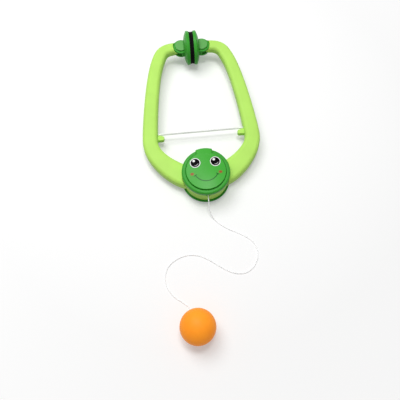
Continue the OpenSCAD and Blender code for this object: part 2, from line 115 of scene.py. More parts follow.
WELL_Z = COVER_TOP - 1.6
WELL_R = FACE_R + 0.75
COVER_ROOF = 2.0
COVER_WALL_R = FRONT_R - 4.8
COVER_ROUND = 2.5
FACE_Z = COVER_TOP + 1.9
FACE_CROWN = 1.3
FACE_ROUND = 0.5
LIP_W = 20.6
LIP_OUT = 0.5
LIP_SINK = 1.0
LIP_ROUND = 0.7
LIP_GAP = 0.15

SCREW_RING_R = DRUM_R - 5.5
SCREW_RING = [(SCREW_RING_R * math.cos(a), SCREW_RING_R * math.sin(a)) for a in map(math.radians, (90, 210, 330))]
SCREW_SEAT_Z = 8.0
SCREW_GAP = 0.3  # between a screw's head and its hole
COVER_SCREW = (1.2, 2.9, 2.2, 14.0)  # shank radius, head radius, head height, length
CORD_FLOOR = 1.5
CORD_FLOOR_R = DRUM_R - 1.8
CORD_WALL_R = BAND_R - 3.5
EXIT_Z = CORD_RING_Z + CORD_RING_H / 2
EXIT_R = 2.5
POST_R = 1.5
POST_Y = CORD_FLOOR_R + 4.8

PAD_R = 22.8
FACE_GAP = 0.15
RUBBER_T = 2.7
RUBBER_R = PAD_R - 1.6
PLATE_X = FACE_GAP + RUBBER_T
SAUCER_RIM = 4.6
SAUCER_CROWN = 8.1
SAUCER_POWER = 3.4
PIN_X = 14.2
PIN_R = 2.5
PIN = (PIN_X, REACH)
EAR_R = 10.9
EAR_T = 2.4
CAP_R = 8.3
CAP_H = 2.3
TONGUE_T = 4.2
TONGUE_R = 6.0
TIP_GAP = 0.6
SLOT_HALF = TONGUE_T / 2 + RUN_GAP
EAR_Z = SLOT_HALF + EAR_T
REAR_BOSS_Z = EAR_Z + CAP_H
CAP_FLAT_X = PLATE_X + SAUCER_CROWN + 0.1
PART_Z = MID_Z - TONGUE_T / 2

BOW_HALF = 66.0
BOW_Y = 53.0
ARM_WIDTHS = (28.0, 19.4, 17.4, 15.6)
FRONT_ROUND = 5.0
REAR_ROUND = 3.2
WALL = 2.0
BODY_CUT_R = BAND_R + 1.6
ROOT = Vector((26.8, 3.2))
ROOT_RUN = 10.0
ROOT_DIR = Vector((math.cos(math.radians(25.5)), math.sin(math.radians(25.5))))
BOW = Vector((BOW_HALF, BOW_Y))
SHOULDER = Vector((BOW_HALF - 17.5, REACH - 21.2))
SHOULDER_DIR = Vector((math.cos(math.radians(110.5)), math.sin(math.radians(110.5))))
TIP = Vector((PIN_X + 5.8, REACH + 0.5))
STRETCHES = (
    (ROOT, ROOT + 15 * ROOT_DIR, BOW - Vector((0, 22)), BOW),
    (BOW, BOW + Vector((0, 17)), SHOULDER - 31 * SHOULDER_DIR, SHOULDER),
    (SHOULDER, SHOULDER + 15 * SHOULDER_DIR, TIP + Vector((21, 0)), TIP),
)
HOLLOW_FROM, HOLLOW_TO = (0, 2 / 11), (2, 6 / 9)  # stretch, place along it
ARM_SCREW_AT = ((0, 0.42), (1, 0.42), (2, 0.22))  # stretch, place along it
ARM_SCREW = (1.1, 2.6, 1.8, 8.0)
ARM_BOSS_R = 3.9
ARM_SEAT_Z = PART_Z - 2

ELASTIC_Y = 65.6
ELASTIC_R = 1.5
INNER_X = BOW_HALF - ARM_WIDTHS[1] / 2
LUG = (8.5, 8.0, 3.25, 2.5)  # length, width, half thickness, corner rounding
LUG_Y = ELASTIC_Y - ELASTIC_R - 0.5 - LUG[1]
KNOT_R = 2.7
KNOT_X = INNER_X + WALL + KNOT_R + RUN_GAP
ELASTIC_END_X = 72.3
NARROW = 0.8  # depth of the narrow part of the elastic's hole

STRING_R = 0.6
STRAND_OFF = 0.28  # from the string's middle to a strand's
LOW = STRING_R  # height of the string where it lies on the ground
# The string's route in the row frame, from the hub to the ball
ROUTE = (
    (0, -120, 19), (0, -124, 19), (-0.1, -128, 18.2), (-0.2, -132, 15.6), (0.1, -136, 11.6),
    (1.1, -140, 7), (3.2, -144.2, 2.6), (7, -149.3, 0.8), (12.8, -155, LOW), (21, -161, LOW),
    (29.8, -166, LOW), (38.5, -171.2, LOW), (46, -177, LOW), (51, -185, LOW), (52.5, -194.8, LOW),
    (49.6, -204.4, LOW), (43.3, -212.3, LOW), (34.2, -216.9, LOW), (23.8, -216.6, LOW),
    (14.2, -212.5, LOW), (5.7, -206.7, LOW), (-2.2, -200.7, LOW), (-10.3, -195, LOW),
    (-19.2, -190.8, LOW), (-29, -189.2, LOW), (-38.3, -190.3, LOW), (-47.4, -194.1, LOW),
    (-55, -200.2, LOW), (-59.5, -209, LOW), (-60.3, -219.1, LOW), (-57.4, -228.3, LOW),
    (-51.4, -236.7, LOW), (-43.7, -243, LOW), (-37.6, -248, LOW), (-34.2, -252.2, 0.9),
    (-32.6, -255.8, 2), (-31.6, -258.2, 3.8), (-31, -260.4, 6),
)
BALL_R = 20.0
BALL_WALL = 0.5
BALL_TURN = math.radians(-76)
BALL_KNOT_R = 1.5

# ---------- looks that the frame doesn't have ----------

CAMERA_LENS = 38.97
CAMERA_AT = Vector((-30.1, -322.8, 506)) * MM
CAMERA_TURN = Euler((math.radians(22), 0, math.radians(-5.7)))
LAMPS = (("key", (-0.30, 0.33, 1.05), 0.7, 6.9), ("top", (0.06, 0.0, 1.1), 0.26, 3.3))  # name, place, width, watts
LAMP_AIM = Vector((0, -0.05, 0))
WORLD_STRENGTH = 0.29
FLOOR_HALF = 3.0
FLOOR_Z = -0.0002  # just under the hub, so that the two don't flicker
FINE = 192  # steps round the hub


# ---------- nodes, colours and trees ----------


def linear(code):
    """An sRGB hex colour such as #B4E66A as linear RGB."""
    parts = [int(code[i : i + 2], 16) / 255 for i in (1, 3, 5)]
    return tuple(c / 12.92 if c <= 0.04045 else ((c + 0.055) / 1.055) ** 2.4 for c in parts)


def rgba(colour, shades=(1.0, 1.0, 1.0)):
    """A linear RGB colour as RGBA, darker by a factor for each channel."""
    return (*(c * shade for c, shade in zip(colour, shades)), 1.0)


def node(tree, kind, *values, out=0, **settings):
    """Adds a node and gives one of its outputs, or the node itself where out is None.

    kind is its type without the prefix, and its operation if it has one. An operation alone is a Math node's, and one
    after Vector is a Vector Math node's. values are its inputs in order, or a dict of them, each a socket or a list of
    sockets to link, or a value to set. settings are its attributes.
    """
    kind, *operation = f"Math {kind}".split() if kind.isupper() else kind.replace("Vector ", "VectorMath ").split()
    prefix = next(p for p in ("ShaderNode", "GeometryNode", "Node") if hasattr(bpy.types, p + kind))
    made = tree.nodes.new(prefix + kind)
    for name, value in (*zip(("operation",), operation), *settings.items()):
        setattr(made, name, value)
    inputs = values[0] if values and isinstance(values[0], dict) else dict(enumerate(values))
    for key, value in inputs.items():
        if isinstance(value, (list, bpy.types.NodeSocket)):
            for socket in value if isinstance(value, list) else [value]:
                tree.links.new(socket, made.inputs[key])
        else:
            made.inputs[key].default_value = value
    return made if out is None else made.outputs[out]


def feed(shader, **sockets):
    """Links sockets to a shader's inputs of those names."""
    for name, socket in sockets.items():
        shader.id_data.links.new(socket, shader.inputs[name.replace("_", " ")])


def geometry_tree(name, inputs):
    """A Geometry Nodes tree whose inputs are a mesh, those numbers with their usual values, and a material.

    It gives the tree, what adds a node to it, and the sockets of its inputs.
    """
    tree = bpy.data.node_groups.new(name, "GeometryNodeTree")
    tree.interface.new_socket("Geometry", in_out="INPUT", socket_type="NodeSocketGeometry")
    for label, value in inputs.items():
        kind = "NodeSocketInt" if isinstance(value, int) else "NodeSocketFloat"
        tree.interface.new_socket(label, in_out="INPUT", socket_type=kind).default_value = value
    tree.interface.new_socket("Material", in_out="INPUT", socket_type="NodeSocketMaterial")
    tree.interface.new_socket("Geometry", in_out="OUTPUT", socket_type="NodeSocketGeometry")
    return tree, partial(node, tree), node(tree, "GroupInput", out=None).outputs


def close_tree(tree, geometry, finish):
    """Ends a tree with smooth faces, Realize Instances and Set Material."""
    smooth = node(tree, "SetShadeSmooth", node(tree, "RealizeInstances", geometry))
    node(tree, "GroupOutput", node(tree, "SetMaterial", {"Geometry": smooth, "Material": finish}), out=None)
    return tree


def evaluated(obj):
    """The object's mesh after its modifiers, as a plain mesh."""
    return bpy.data.meshes.new_from_object(obj.evaluated_get(bpy.context.evaluated_depsgraph_get()))


def grown(mesh, tree, inputs):
    """The plain mesh that a tree makes of one."""
    obj = bpy.data.objects.new("work", mesh)
    bpy.context.scene.collection.objects.link(obj)
    modifier = obj.modifiers.new("work", "NODES")
    modifier.node_group = tree
    for item in tree.interface.items_tree:
        if item.in_out == "INPUT" and item.name in inputs:
            modifier[item.identifier] = inputs[item.name]
    made = evaluated(obj)
    bpy.data.objects.remove(obj)
    return made


# ---------- meshes ----------


def outward(mesh):
    """The mesh with its faces turned outwards."""
    shape = bmesh.new()
    shape.from_mesh(mesh)
    bmesh.ops.recalc_face_normals(shape, faces=shape.faces)
    shape.to_mesh(mesh)
    shape.free()
    return mesh


def mesh_of(points, faces=(), edges=()):
    """A mesh with outward faces."""
    mesh = bpy.data.meshes.new("work")
    mesh.from_pydata([tuple(p) for p in points], edges, faces)
    return outward(mesh) if faces else mesh


def line_mesh(points):
    """A mesh line through points."""
    return mesh_of(points, edges=[(i, i + 1) for i in range(len(points) - 1)])


def arc(centre, radius, start, end, steps):
    """Points of an arc in a profile, from one angle to another, in degrees."""
    turns = (math.radians(start + (end - start) * i / steps) for i in range(steps + 1))
    return [(centre[0] + radius * math.cos(a), centre[1] + radius * math.sin(a)) for a in turns]


def fillet(x, y, radius, start, end, steps=4):
    """Points that round a corner at x, y of a profile, from one angle to another, which tell the corner's quarter."""
    middle = math.radians((start + end) / 2)
    centre = (x - math.copysign(radius, math.cos(middle)), y - math.copysign(radius, math.sin(middle)))
    return arc(centre, radius, start, end, steps)


def lathe(profile, segments=144):
    """A closed solid of revolution about Z, from a profile of (radius, height) from axis to axis, or a closed one."""
    points, rings, faces = [], [], []
    for radius, height in profile:
        count = segments if radius > 1e-9 else 1
        rings.append(range(len(points), len(points) + count))
        turns = (2 * math.pi * k / count for k in range(count))
        points += [(radius * math.cos(a), radius * math.sin(a), height) for a in turns]
    closing = rings[:1] if profile[0][0] > 1e-9 else []
    for a, b in zip(rings, rings[1:] + closing):
        for k in range(segments):
            n = (k + 1) % segments
            face = list(dict.fromkeys(ring[i % len(ring)] for ring, i in ((a, k), (a, n), (b, n), (b, k))))
            if len(face) > 2:
                faces.append(face)
    return mesh_of(points, faces)


def rounded(radius, low, high, edge):
    """The side of an upright cylinder with rounded edges, as a profile."""
    return fillet(radius, low, edge, -90, 0) + fillet(radius, high, edge, 0, 90)


def rod(radius, low, high, edge=0.0, at=(0, 0), segments=96):
    """An upright cylinder with rounded edges."""
    side = rounded(radius, low, high, edge) if edge else [(radius, low), (radius, high)]
    return moved(lathe([(0, low), *side, (0, high)], segments), Matrix.Translation((*at, 0)))


def sunk_hole(radius, low, high, at):
    """A cutter for a screw hole that opens downwards, with a rounded rim."""
    side = [(radius + 0.5, low - 1), (radius + 0.5, low), (radius + 0.15, low + 0.15), (radius, low + 0.5)]
    return moved(lathe([(0, low - 1), *side, (radius, high), (0, high)], 64), Matrix.Translation((*at, 0)))


def block(low, high):
    """A box from its lowest to its highest corner."""
    points = [(x, y, z) for x in (low[0], high[0]) for y in (low[1], high[1]) for z in (low[2], high[2])]
    return mesh_of(points, [(0, 1, 3, 2), (4, 6, 7, 5), (0, 4, 5, 1), (2, 3, 7, 6), (0, 2, 6, 4), (1, 5, 7, 3)])


def stacked(rows):
    """A closed solid of rows of points, each as many, with its first and last row as its ends."""
    count = len(rows[0])
    faces = [
        (r + k, r + (k + 1) % count, r + count + (k + 1) % count, r + count + k)
        for r in range(0, (len(rows) - 1) * count, count)
        for k in range(count)
    ]
    ends = [tuple(range(count)), tuple(range((len(rows) - 1) * count, len(rows) * count))]
    return mesh_of([point for row in rows for point in row], faces + ends)


def prism(outline, low, high, edge, steps=4):
    """An upright prism on a convex outline, with its upper edge rounded."""
    corners = [Vector(p) for p in outline]
    inward = []
    for before, corner, after in zip(corners[-1:] + corners, corners, corners[1:] + corners[:1]):
        ahead, behind = (after - corner).normalized(), (corner - before).normalized()
        inward.append((Vector((-ahead.y, ahead.x)) + Vector((-behind.y, behind.x))).normalized())
    turns = [math.pi / 2 * k / steps for k in range(steps + 1)]
    rows = [(low, 0)] + [(high - edge + edge * math.sin(a), edge * (1 - math.cos(a))) for a in turns]
    return stacked([[(*(c + inset * n), z) for c, n in zip(corners, inward)] for z, inset in rows])


def carved(base, *steps):
    """A closed mesh after a row of steps, each an operation and the closed meshes it takes."""
    subject = bpy.data.objects.new("work", base)
    tools = []
    for operation, *meshes in steps:
        for mesh in meshes:
            tool = bpy.data.objects.new("tool", mesh)
            modifier = subject.modifiers.new("cut", "BOOLEAN")
            modifier.operation = operation
            modifier.solver = "MANIFOLD"
            modifier.object = tool
            tools.append(tool)
    for obj in (subject, *tools):
        bpy.context.scene.collection.objects.link(obj)
    made = evaluated(subject)
    for obj in (subject, *tools):
        mesh = obj.data
        bpy.data.objects.remove(obj)
        bpy.data.meshes.remove(mesh)
    if not made.polygons:
        raise RuntimeError("a boolean step left nothing")
    return made


def joined(*meshes):
    """Several meshes as one."""
    shape = bmesh.new()
    for mesh in meshes:
        shape.from_mesh(mesh)
    made = bpy.data.meshes.new("work")
    shape.to_mesh(made)
    shape.free()
    return made


def moved(mesh, matrix):
    """The mesh after a matrix, turned the right way out if that mirrors it."""
    mesh.transform(matrix)
    if matrix.determinant() < 0:
        mesh.flip_normals()
    return mesh


def piece(name, mesh, body, finish, replaces=(), place=HUB_FRAME, sharp=32):
    """Lays a mesh down in the frame, smooths it by angle and makes it a piece of that body."""
    moved(mesh, place)
    mesh.name = name
    mesh.materials.clear()
    mesh.materials.append(Built.finishes[finish])
    mesh.polygons.foreach_set("use_smooth", [True] * len(mesh.polygons))
    mesh.polygons.foreach_set("material_index", [0] * len(mesh.polygons))
    mesh.set_sharp_from_angle(angle=math.radians(sharp))
    mesh.update()
    obj = bpy.data.objects.new(name, mesh)
    bpy.context.scene.collection.objects.link(obj)
    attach(obj, body)
    if replaces:
        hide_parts(*replaces)
    return obj


def hub_point(x, y, z):
    """A point of the hub's frame, in millimetres, in the row frame in metres."""
    return HUB_FRAME @ Vector((x, y, z))


# ---------- geometry node trees ----------


def arm_bar_tree():
    """Sweeps the half section of an arm along its stations: a crowned bar that stands on the parting plane."""
    tree, add, given = geometry_tree("Arm bar", {
        "Arc Steps": 8,
        "Rounding": FRONT_ROUND,
        "Rise": MID_Z - PART_Z,
        "Inset": 0.0,
        "Groove": 0.25,
    })
    stations, arc_steps, inset, groove = (given[name] for name in ("Geometry", "Arc Steps", "Inset", "Groove"))

    # A row of the grid for each station, and one past either end that shrinks to a point and closes the bar
    count = add("AttributeDomainSize", stations, out="Point Count")
    row = add("MULTIPLY_ADD", arc_steps, 2, 8)
    grid = add("MeshGrid", {"Vertices X": add("ADD", count, 2), "Vertices Y": row})
    index = add("InputIndex")
    along = add("FLOOR", add("DIVIDE", add("ADD", index, 0.5), row))
    step = add("SUBTRACT", index, add("MULTIPLY", along, row))
    behind = add("SUBTRACT", along, 1)
    station = add("MINIMUM", add("MAXIMUM", behind, 0), add("SUBTRACT", count, 1))
    is_open = add("COMPARE", behind, station, 0.5)

    def at_station(name, kind):
        """A value that the stations carry, at this row's one."""
        value = add("InputNamedAttribute", name, data_type=kind)
        return add("SampleIndex", {"Geometry": stations, "Value": value, "Index": station}, data_type=kind)

    centre, across = (at_station(name, "FLOAT_VECTOR") for name in ("position", "across"))
    width, thickness = (at_station(name, "FLOAT") for name in ("width", "thickness"))
    half = add("SUBTRACT", add("MULTIPLY", width, 0.5), inset)
    full = add("MULTIPLY_ADD", thickness, 0.5, given["Rise"])
    height = add("SUBTRACT", full, inset)
    wanted = add("MINIMUM", given["Rounding"], add("SUBTRACT", full, 0.4))
    rounding = add("MAXIMUM", add("SUBTRACT", wanted, inset), 0.6)

    # k counts from the middle of the foot out to the crown, on either side
    other = add("SUBTRACT", add("SUBTRACT", row, 1), step)
    k = add("MINIMUM", step, other)
    side = add("SIGN", add("SUBTRACT", step, other))
    share = add("Clamp", add("DIVIDE", add("SUBTRACT", k, 3), arc_steps))
    turn = add("MULTIPLY", share, math.pi / 2)
    reach = add("MULTIPLY_ADD", rounding, add("SUBTRACT", add("COSINE", turn), 1), half)
    reach = add("SUBTRACT", reach, add("MULTIPLY", groove, add("COMPARE", k, 1, 0.1)))
    reach = add("MULTIPLY", add("MULTIPLY", reach, side), add("GREATER_THAN", k, 0.5))
    rise = add("MULTIPLY_ADD", rounding, add("SUBTRACT", add("SINE", turn), 1), height)
    rise = add("MULTIPLY", rise, add("GREATER_THAN", k, 2.5))
    rise = add("MULTIPLY_ADD", groove, add("COMPARE", k, 2, 0.1), rise)
    sideways = add("Vector SCALE", {0: across, "Scale": add("MULTIPLY", reach, is_open)})
    upwards = add("CombineXYZ", {"Z": add("MULTIPLY", rise, is_open)})
    place = add("Vector ADD", add("Vector ADD", centre, sideways), upwards)
    placed = add("SetPosition", {"Geometry": grid, "Position": place})
    merged = add("MergeByDistance", {"Geometry": placed, "Distance": 0.002})
    return close_tree(tree, merged, given["Material"])


def cord_tree():
    """Lays strands round the path that goes in, twisted, or woven in and out as one half of a braid."""
    tree, add, given = geometry_tree("Laid cord", {
        "Strands": 3,
        "Lay": 4.0,
        "Core Radius": 0.27,
        "Strand Radius": 0.33,
        "Weave": 0.0,
        "Step": 0.4,
        "Sides": 6,
    })
    path = add("MeshToCurve", {"Mesh": given["Geometry"]})
    even = add("ResampleCurve", {"Curve": path, "Length": given["Step"]}, mode="LENGTH")
    strands = add("DuplicateElements", {"Geometry": even, "Amount": given["Strands"]}, domain="SPLINE", out=None)
    lays = add("DIVIDE", add("SplineParameter", out="Length"), given["Lay"])
    start = add("DIVIDE", strands.outputs[1], given["Strands"])
    angle = add("MULTIPLY", add("ADD", lays, start), 2 * math.pi)
    crossings = add("MULTIPLY", lays, add("MULTIPLY", given["Strands"], 2 * math.pi))
    out = add("MULTIPLY_ADD", add("COSINE", crossings), given["Weave"], given["Core Radius"])
    normal = add("InputNormal")
    beside = add("Vector CROSS_PRODUCT", add("InputTangent"), normal)
    one = add("Vector SCALE", {0: normal, "Scale": add("MULTIPLY", add("COSINE", angle), out)})
    two = add("Vector SCALE", {0: beside, "Scale": add("MULTIPLY", add("SINE", angle), out)})
    laid = add("SetPosition", {"Geometry": strands.outputs[0], "Offset": add("Vector ADD", one, two)})
    section = add("CurvePrimitiveCircle", {"Resolution": given["Sides"], "Radius": given["Strand Radius"]})
    tube = add("CurveToMesh", {"Curve": laid, "Profile Curve": section, "Fill Caps": True})
    return close_tree(tree, tube, given["Material"])


def screw_tree():
    """Puts a pan-head screw with a cross recess on each point, pointing up, with its head's underside on the point."""
    tree, add, given = geometry_tree("Screws", {
        "Shank Radius": 1.2,
        "Head Radius": 2.9,
        "Head Height": 2.2,
        "Length": 14.0,
        "Recess Width": 0.7,
        "Recess Depth": 1.1,
    })

    def raised(mesh, size, share):
        """The mesh moved up by a share of that size."""
        up = add("CombineXYZ", {"Z": add("MULTIPLY", size, share)})
        return add("Transform", {"Geometry": mesh, "Translation": up})

    head_r, head_h, slit, length = (given[name] for name in ("Head Radius", "Head Height", "Recess Width", "Length"))
    drum = raised(add("MeshCylinder", {"Vertices": 48, "Radius": head_r, "Depth": head_h}), head_h, -0.5)
    wide = add("MULTIPLY", head_r, 1.12)
    scale = add("CombineXYZ", wide, wide, add("MULTIPLY", head_h, 1.02))
    dome = add("MeshUVSphere", {"Segments": 48, "Rings": 24, "Radius": 1.0})
    dome = add("Transform", {"Geometry": dome, "Scale": scale})
    head = add("MeshBoolean INTERSECT", {"Mesh 2": [drum, dome]}, solver="MANIFOLD")
    arm, depth = add("MULTIPLY", head_r, 1.25), add("MULTIPLY", given["Recess Depth"], 2)
    sizes = [add("CombineXYZ", *size) for size in ((arm, slit, depth), (slit, arm, depth))]
    cross = [raised(add("MeshCube", {"Size": size}), head_h, -1) for size in sizes]
    recessed = add("MeshBoolean DIFFERENCE", {"Mesh 1": head, "Mesh 2": cross}, solver="MANIFOLD")
    shank = add("MeshCylinder", {"Vertices": 32, "Radius": given["Shank Radius"], "Depth": length})
    screw = add("JoinGeometry", {0: [recessed, raised(shank, length, 0.5)]})
    row = add("InstanceOnPoints", {"Points": given["Geometry"], "Instance": screw})
    return close_tree(tree, row, given["Material"])


# ---------- materials ----------

SPREAD = (0.3, 0.7)  # most of a noise's values lie between these
GRAIN_DEPTH = 0.05 * MM  # of the surfaces' fine grain


def material(name, **surface):
    """A material with a Principled surface: it, what adds a node to it, its shader, and its place in millimetres."""
    made = bpy.data.materials.new(name)
    made.use_nodes = True
    shader = made.node_tree.nodes["Principled BSDF"]
    for key, value in surface.items():
        shader.inputs[key.replace("_", " ")].default_value = value
    add = partial(node, made.node_tree)
    return made, add, shader, add("Mapping", {"Vector": add("TexCoord", out="Object"), "Scale": (1 / MM,) * 3})


def moulded_plastic(name, colour, roughness, gloss_level=0.1, bump=0.06):
    """Injection-moulded plastic: an even colour with faint flow shades 24 mm wide, and an eroded mould's fine skin.

    The real skin's grains are about 0.05 mm. It is drawn at 0.45 mm, as finer ones would not show.
    """
    made, add, shader, place = material(name, Roughness=roughness, IOR=1.53, Specular_IOR_Level=gloss_level)
    flow_size, skin_size = 24, 0.45
    flow = add("TexNoise", {"Vector": place, "Scale": 1 / flow_size, "Detail": 2.0})
    colours = {0: add("MapRange", flow, *SPREAD), 6: rgba(colour), 7: rgba(colour, (0.93,) * 3)}
    mixed = add("Mix", colours, data_type="RGBA", out=2)
    skin = add("TexNoise", {"Vector": place, "Scale": 1 / skin_size, "Detail": 3.0, "Roughness": 0.6})
    gloss = add("MapRange", skin, *SPREAD, roughness - 0.04, roughness + 0.05)
    relief = add("Bump", {"Strength": bump, "Distance": GRAIN_DEPTH, "Height": skin})
    feed(shader, Base_Color=mixed, Roughness=gloss, Normal=relief)
    return made, add, shader, mixed


def printed_plastic(name, colours, sizes):
    """Moulded plastic with a pad-printed face of two eyes, two cheeks and a smile, in millimetres on the plate."""
    made, add, shader, result = moulded_plastic(name, colours.face_green, 0.27, gloss_level=0.12)
    inverse = HUB_FRAME.inverted()
    place = add("Mapping", {"Vector": add("TexCoord", out="Object"), "Location": inverse.translation,
                            "Rotation": inverse.to_euler("XYZ"), "Scale": (1 / MM,) * 3})
    x, y, _ = add("SeparateXYZ", place, out=None).outputs

    def spot(point, centre, radius, soft):
        """1 inside a round spot, 0 outside it, with an edge that wide."""
        away = add("Vector DISTANCE", point, (*centre, 0), out="Value")
        return add("MapRange", away, radius + soft / 2, radius - soft / 2)

    def band(value, half, soft=0.25):
        """1 where the value is nearer to 0 than half."""
        return add("MapRange", add("ABSOLUTE", value), half + soft / 2, half - soft / 2)

    # Both halves of the face are printed at once, on the right. The cheeks are a little wider than high
    beside = add("ABSOLUTE", x)
    folded = add("CombineXYZ", beside, y)
    cheek_x, cheek_y, cheek_r, flat = 17.2, -3.75, 2.15, 1.25
    cheek = spot(add("CombineXYZ", beside, add("MULTIPLY", y, flat)), (cheek_x, cheek_y * flat), cheek_r, 1.7)

    # The smile is an arc through both its ends and its lowest point, with a short tick across each end
    end_x, end_y, low_y, line_half, tick_half = 13.45, -5.9, -13.9, 0.5, 1.9
    bend = (end_x**2 + (end_y - low_y) ** 2) / (2 * (end_y - low_y))
    from_middle = add("Vector DISTANCE", folded, (0, low_y + bend, 0), out="Value")
    curve = band(add("SUBTRACT", from_middle, bend), line_half, 0.3)
    smile = add("MULTIPLY", curve, add("LESS_THAN", y, end_y))
    out = Vector((end_x, end_y - low_y - bend)).normalized()
    at_end = add("Vector SUBTRACT", folded, (end_x, end_y, 0))
    along = add("Vector DOT_PRODUCT", at_end, (out.x, out.y, 0), out="Value")
    aside = add("Vector DOT_PRODUCT", at_end, (-out.y, out.x, 0), out="Value")
    tick = add("MULTIPLY", band(along, tick_half), band(aside, line_half))

    # Each eye is a white disc with a black one, a round light high up and a soft crescent of light low down
    eye_x, eye_y, eye_r = (size / MM for size in (sizes.eye_offset, sizes.eye_height, sizes.eye_radius))
    in_eye = add("CombineXYZ", add("SUBTRACT", x, add("MULTIPLY", add("SIGN", x), eye_x)),
                 add("SUBTRACT", y, eye_y))
    crescent_r, crescent_half, light_at, light_r = 0.56 * eye_r, 0.34, (-1.5, 2.8), 1.55
    ring = add("SUBTRACT", add("Vector LENGTH", in_eye, out="Value"), crescent_r)
    low_side = add("Vector DOT_PRODUCT", in_eye, (0.45, -0.9, 0), out="Value")
    crescent = add("MULTIPLY", band(ring, crescent_half, 0.4), add("MapRange", low_side, 2.2, 3.3, 0.0, 0.62))
    ink = spot(folded, (eye_x, eye_y), eye_r * 0.87, 0.3)
    layers = (
        (cheek, colours.cheek, 0.9),
        (add("MAXIMUM", smile, tick), colours.line_green, 1.0),
        (spot(folded, (eye_x, eye_y), eye_r + 0.5, 0.3), colours.line_green, 0.35),
        (spot(folded, (eye_x, eye_y), eye_r, 0.25), colours.eye_white, 1.0),
        (ink, colours.eye_black, 1.0),
        (crescent, colours.eye_white, 1.0),
        (spot(in_eye, light_at, light_r, 0.5), colours.eye_white, 1.0),
    )
    for mask, colour, strength in layers:
        inputs = {0: add("MULTIPLY", mask, strength), 6: result, 7: rgba(colour)}
        result = add("Mix", inputs, data_type="RGBA", out=2)
    # The black ink is matt
    feed(shader, Base_Color=result, Specular_IOR_Level=add("MapRange", ink, 0.0, 1.0, 0.12, 0.01))
    return made


def plated_steel(name, colour):
    """Zinc-plated steel: bright metal with a slightly cloudy plating."""
    made, add, shader, place = material(name, Base_Color=rgba(colour), Metallic=1.0, Roughness=0.3)
    cloud_size, bright, dull = 0.625, 0.24, 0.42
    cloud = add("TexNoise", {"Vector": place, "Scale": 1 / cloud_size, "Detail": 4.0})
    feed(shader, Roughness=add("MapRange", cloud, *SPREAD, bright, dull))
    return made


def moulded_rubber(name, colour):
    """Moulded rubber: near black and matt, with a grain that catches a dull light, and dust-grey flecks.

    The real grain is about 0.1 mm. It is drawn at 0.5 mm, as a finer one would not show.
    """
    made, add, shader, place = material(name, Roughness=0.8, IOR=1.52, Specular_IOR_Level=0.06)
    grain_size, dust = 0.5, 0.006
    grain = add("TexNoise", {"Vector": place, "Scale": 1 / grain_size, "Detail": 4.0})
    tone = add("MapRange", grain, 0.35, 0.75)
    dusty = rgba([c + dust for c in colour])
    relief = add("Bump", {"Strength": 0.25, "Distance": 2 * GRAIN_DEPTH, "Height": grain})
    feed(shader, Base_Color=add("Mix", {0: tone, 6: rgba(colour), 7: dusty}, data_type="RGBA", out=2), Normal=relief)
    return made


def spun_fibre(name, colour, fibre, painted_glow):
    """Spun synthetic yarn: soft white strands with a faint sheen and no gloss, and a painted glow of the given
    strength that lightens them.

    The real fibres are about 0.02 mm thick. They are drawn at the size given, as finer ones would not show.
    """
    # The white emission is a painted glow, at the strength given, that lightens the strands though they are no lamp
    made, add, shader, place = material(name, Roughness=0.8, Sheen_Weight=0.4, Sheen_Roughness=0.5, IOR=1.5,
                                        Emission_Color=(1.0, 1.0, 1.0, 1.0), Emission_Strength=painted_glow)
    hair = add("TexNoise", {"Vector": place, "Scale": 1 / fibre, "Detail": 2.0})
    colours = {0: add("MapRange", hair, *SPREAD), 6: rgba(colour), 7: rgba(colour, (0.93,) * 3)}
    relief = add("Bump", {"Strength": 0.35, "Distance": GRAIN_DEPTH, "Height": hair})
    feed(shader, Base_Color=add("Mix", colours, data_type="RGBA", out=2), Normal=relief)
    return made


def ball_skin(name, colour, centre, pole):
    """A ball's thin skin: sanded matt, with the faint line where its halves meet, and a painted orange glow that
    lightens its shaded side.

    The real grain is about 0.05 mm. It is drawn at 0.3 mm, as a finer one would not show.
    """
    # The orange emission is a painted glow: the ball glows though it is no lamp, which keeps its shaded side light
    made, add, shader, place = material(name, Roughness=0.5, IOR=1.5, Specular_IOR_Level=0.2,
                                        Emission_Color=(1.0, 0.27, 0.015, 1.0), Emission_Strength=0.21)
    height = add("Vector DOT_PRODUCT", add("Vector SUBTRACT", place, centre), pole, out="Value")
    seam = add("MapRange", add("ABSOLUTE", height), 0.12, 0.34, 1.0, 0.0)
    grain_size, cloud_size = 0.3, 14
    grain = add("TexNoise", {"Vector": place, "Scale": 1 / grain_size, "Detail": 2.0})
    cloud = add("TexNoise", {"Vector": place, "Scale": 1 / cloud_size, "Detail": 2.0})
    deeper = rgba(colour, (0.97, 0.9, 0.8))
    tones = {0: add("MapRange", cloud, *SPREAD), 6: rgba(colour), 7: deeper}
    seamed = {0: seam, 6: add("Mix", tones, data_type="RGBA", out=2), 7: deeper}
    relief = add("Bump", {"Strength": 0.12, "Distance": GRAIN_DEPTH, "Height": grain})
    welded = add("Bump", {"Strength": 0.4, "Distance": GRAIN_DEPTH, "Height": seam, "Normal": relief})
    feed(shader, Base_Color=add("Mix", seamed, data_type="RGBA", out=2), Normal=welded)
    return made


def seen_ray(add):
    """1 for what is seen directly, in a gloss or through glass, and 0 for the light that falls on other things."""
    paths = add("LightPath", out=None).outputs
    seen = add("MAXIMUM", paths["Is Camera Ray"], paths["Is Glossy Ray"])
    return add("MAXIMUM", seen, paths["Is Transmission Ray"])


def floor_paper(name, colour):
    """Smooth white paper: it is seen lifted to white outside the shadow, and throws less light back up.

    Farther out the lamps fade, so the lift grows from 300 to 1400 mm from the trainer.
    """
    made, add, shader, place = material(name, Roughness=0.9, Specular_IOR_Level=0.0, Emission_Color=(1, 1, 1, 1))
    seen = seen_ray(add)
    near, far, near_lift, far_lift, thrown_back = 300.0, 1400.0, 0.27, 0.76, 0.74
    lift = add("MapRange", add("Vector LENGTH", place, out="Value"), near, far, near_lift, far_lift)
    paper = {0: seen, 6: rgba(colour, (thrown_back,) * 3), 7: rgba(colour)}
    mixed = add("Mix", paper, data_type="RGBA", out=2)
    feed(shader, Base_Color=mixed, Emission_Strength=add("MULTIPLY", seen, lift))
    return made


# ---------- settings ----------


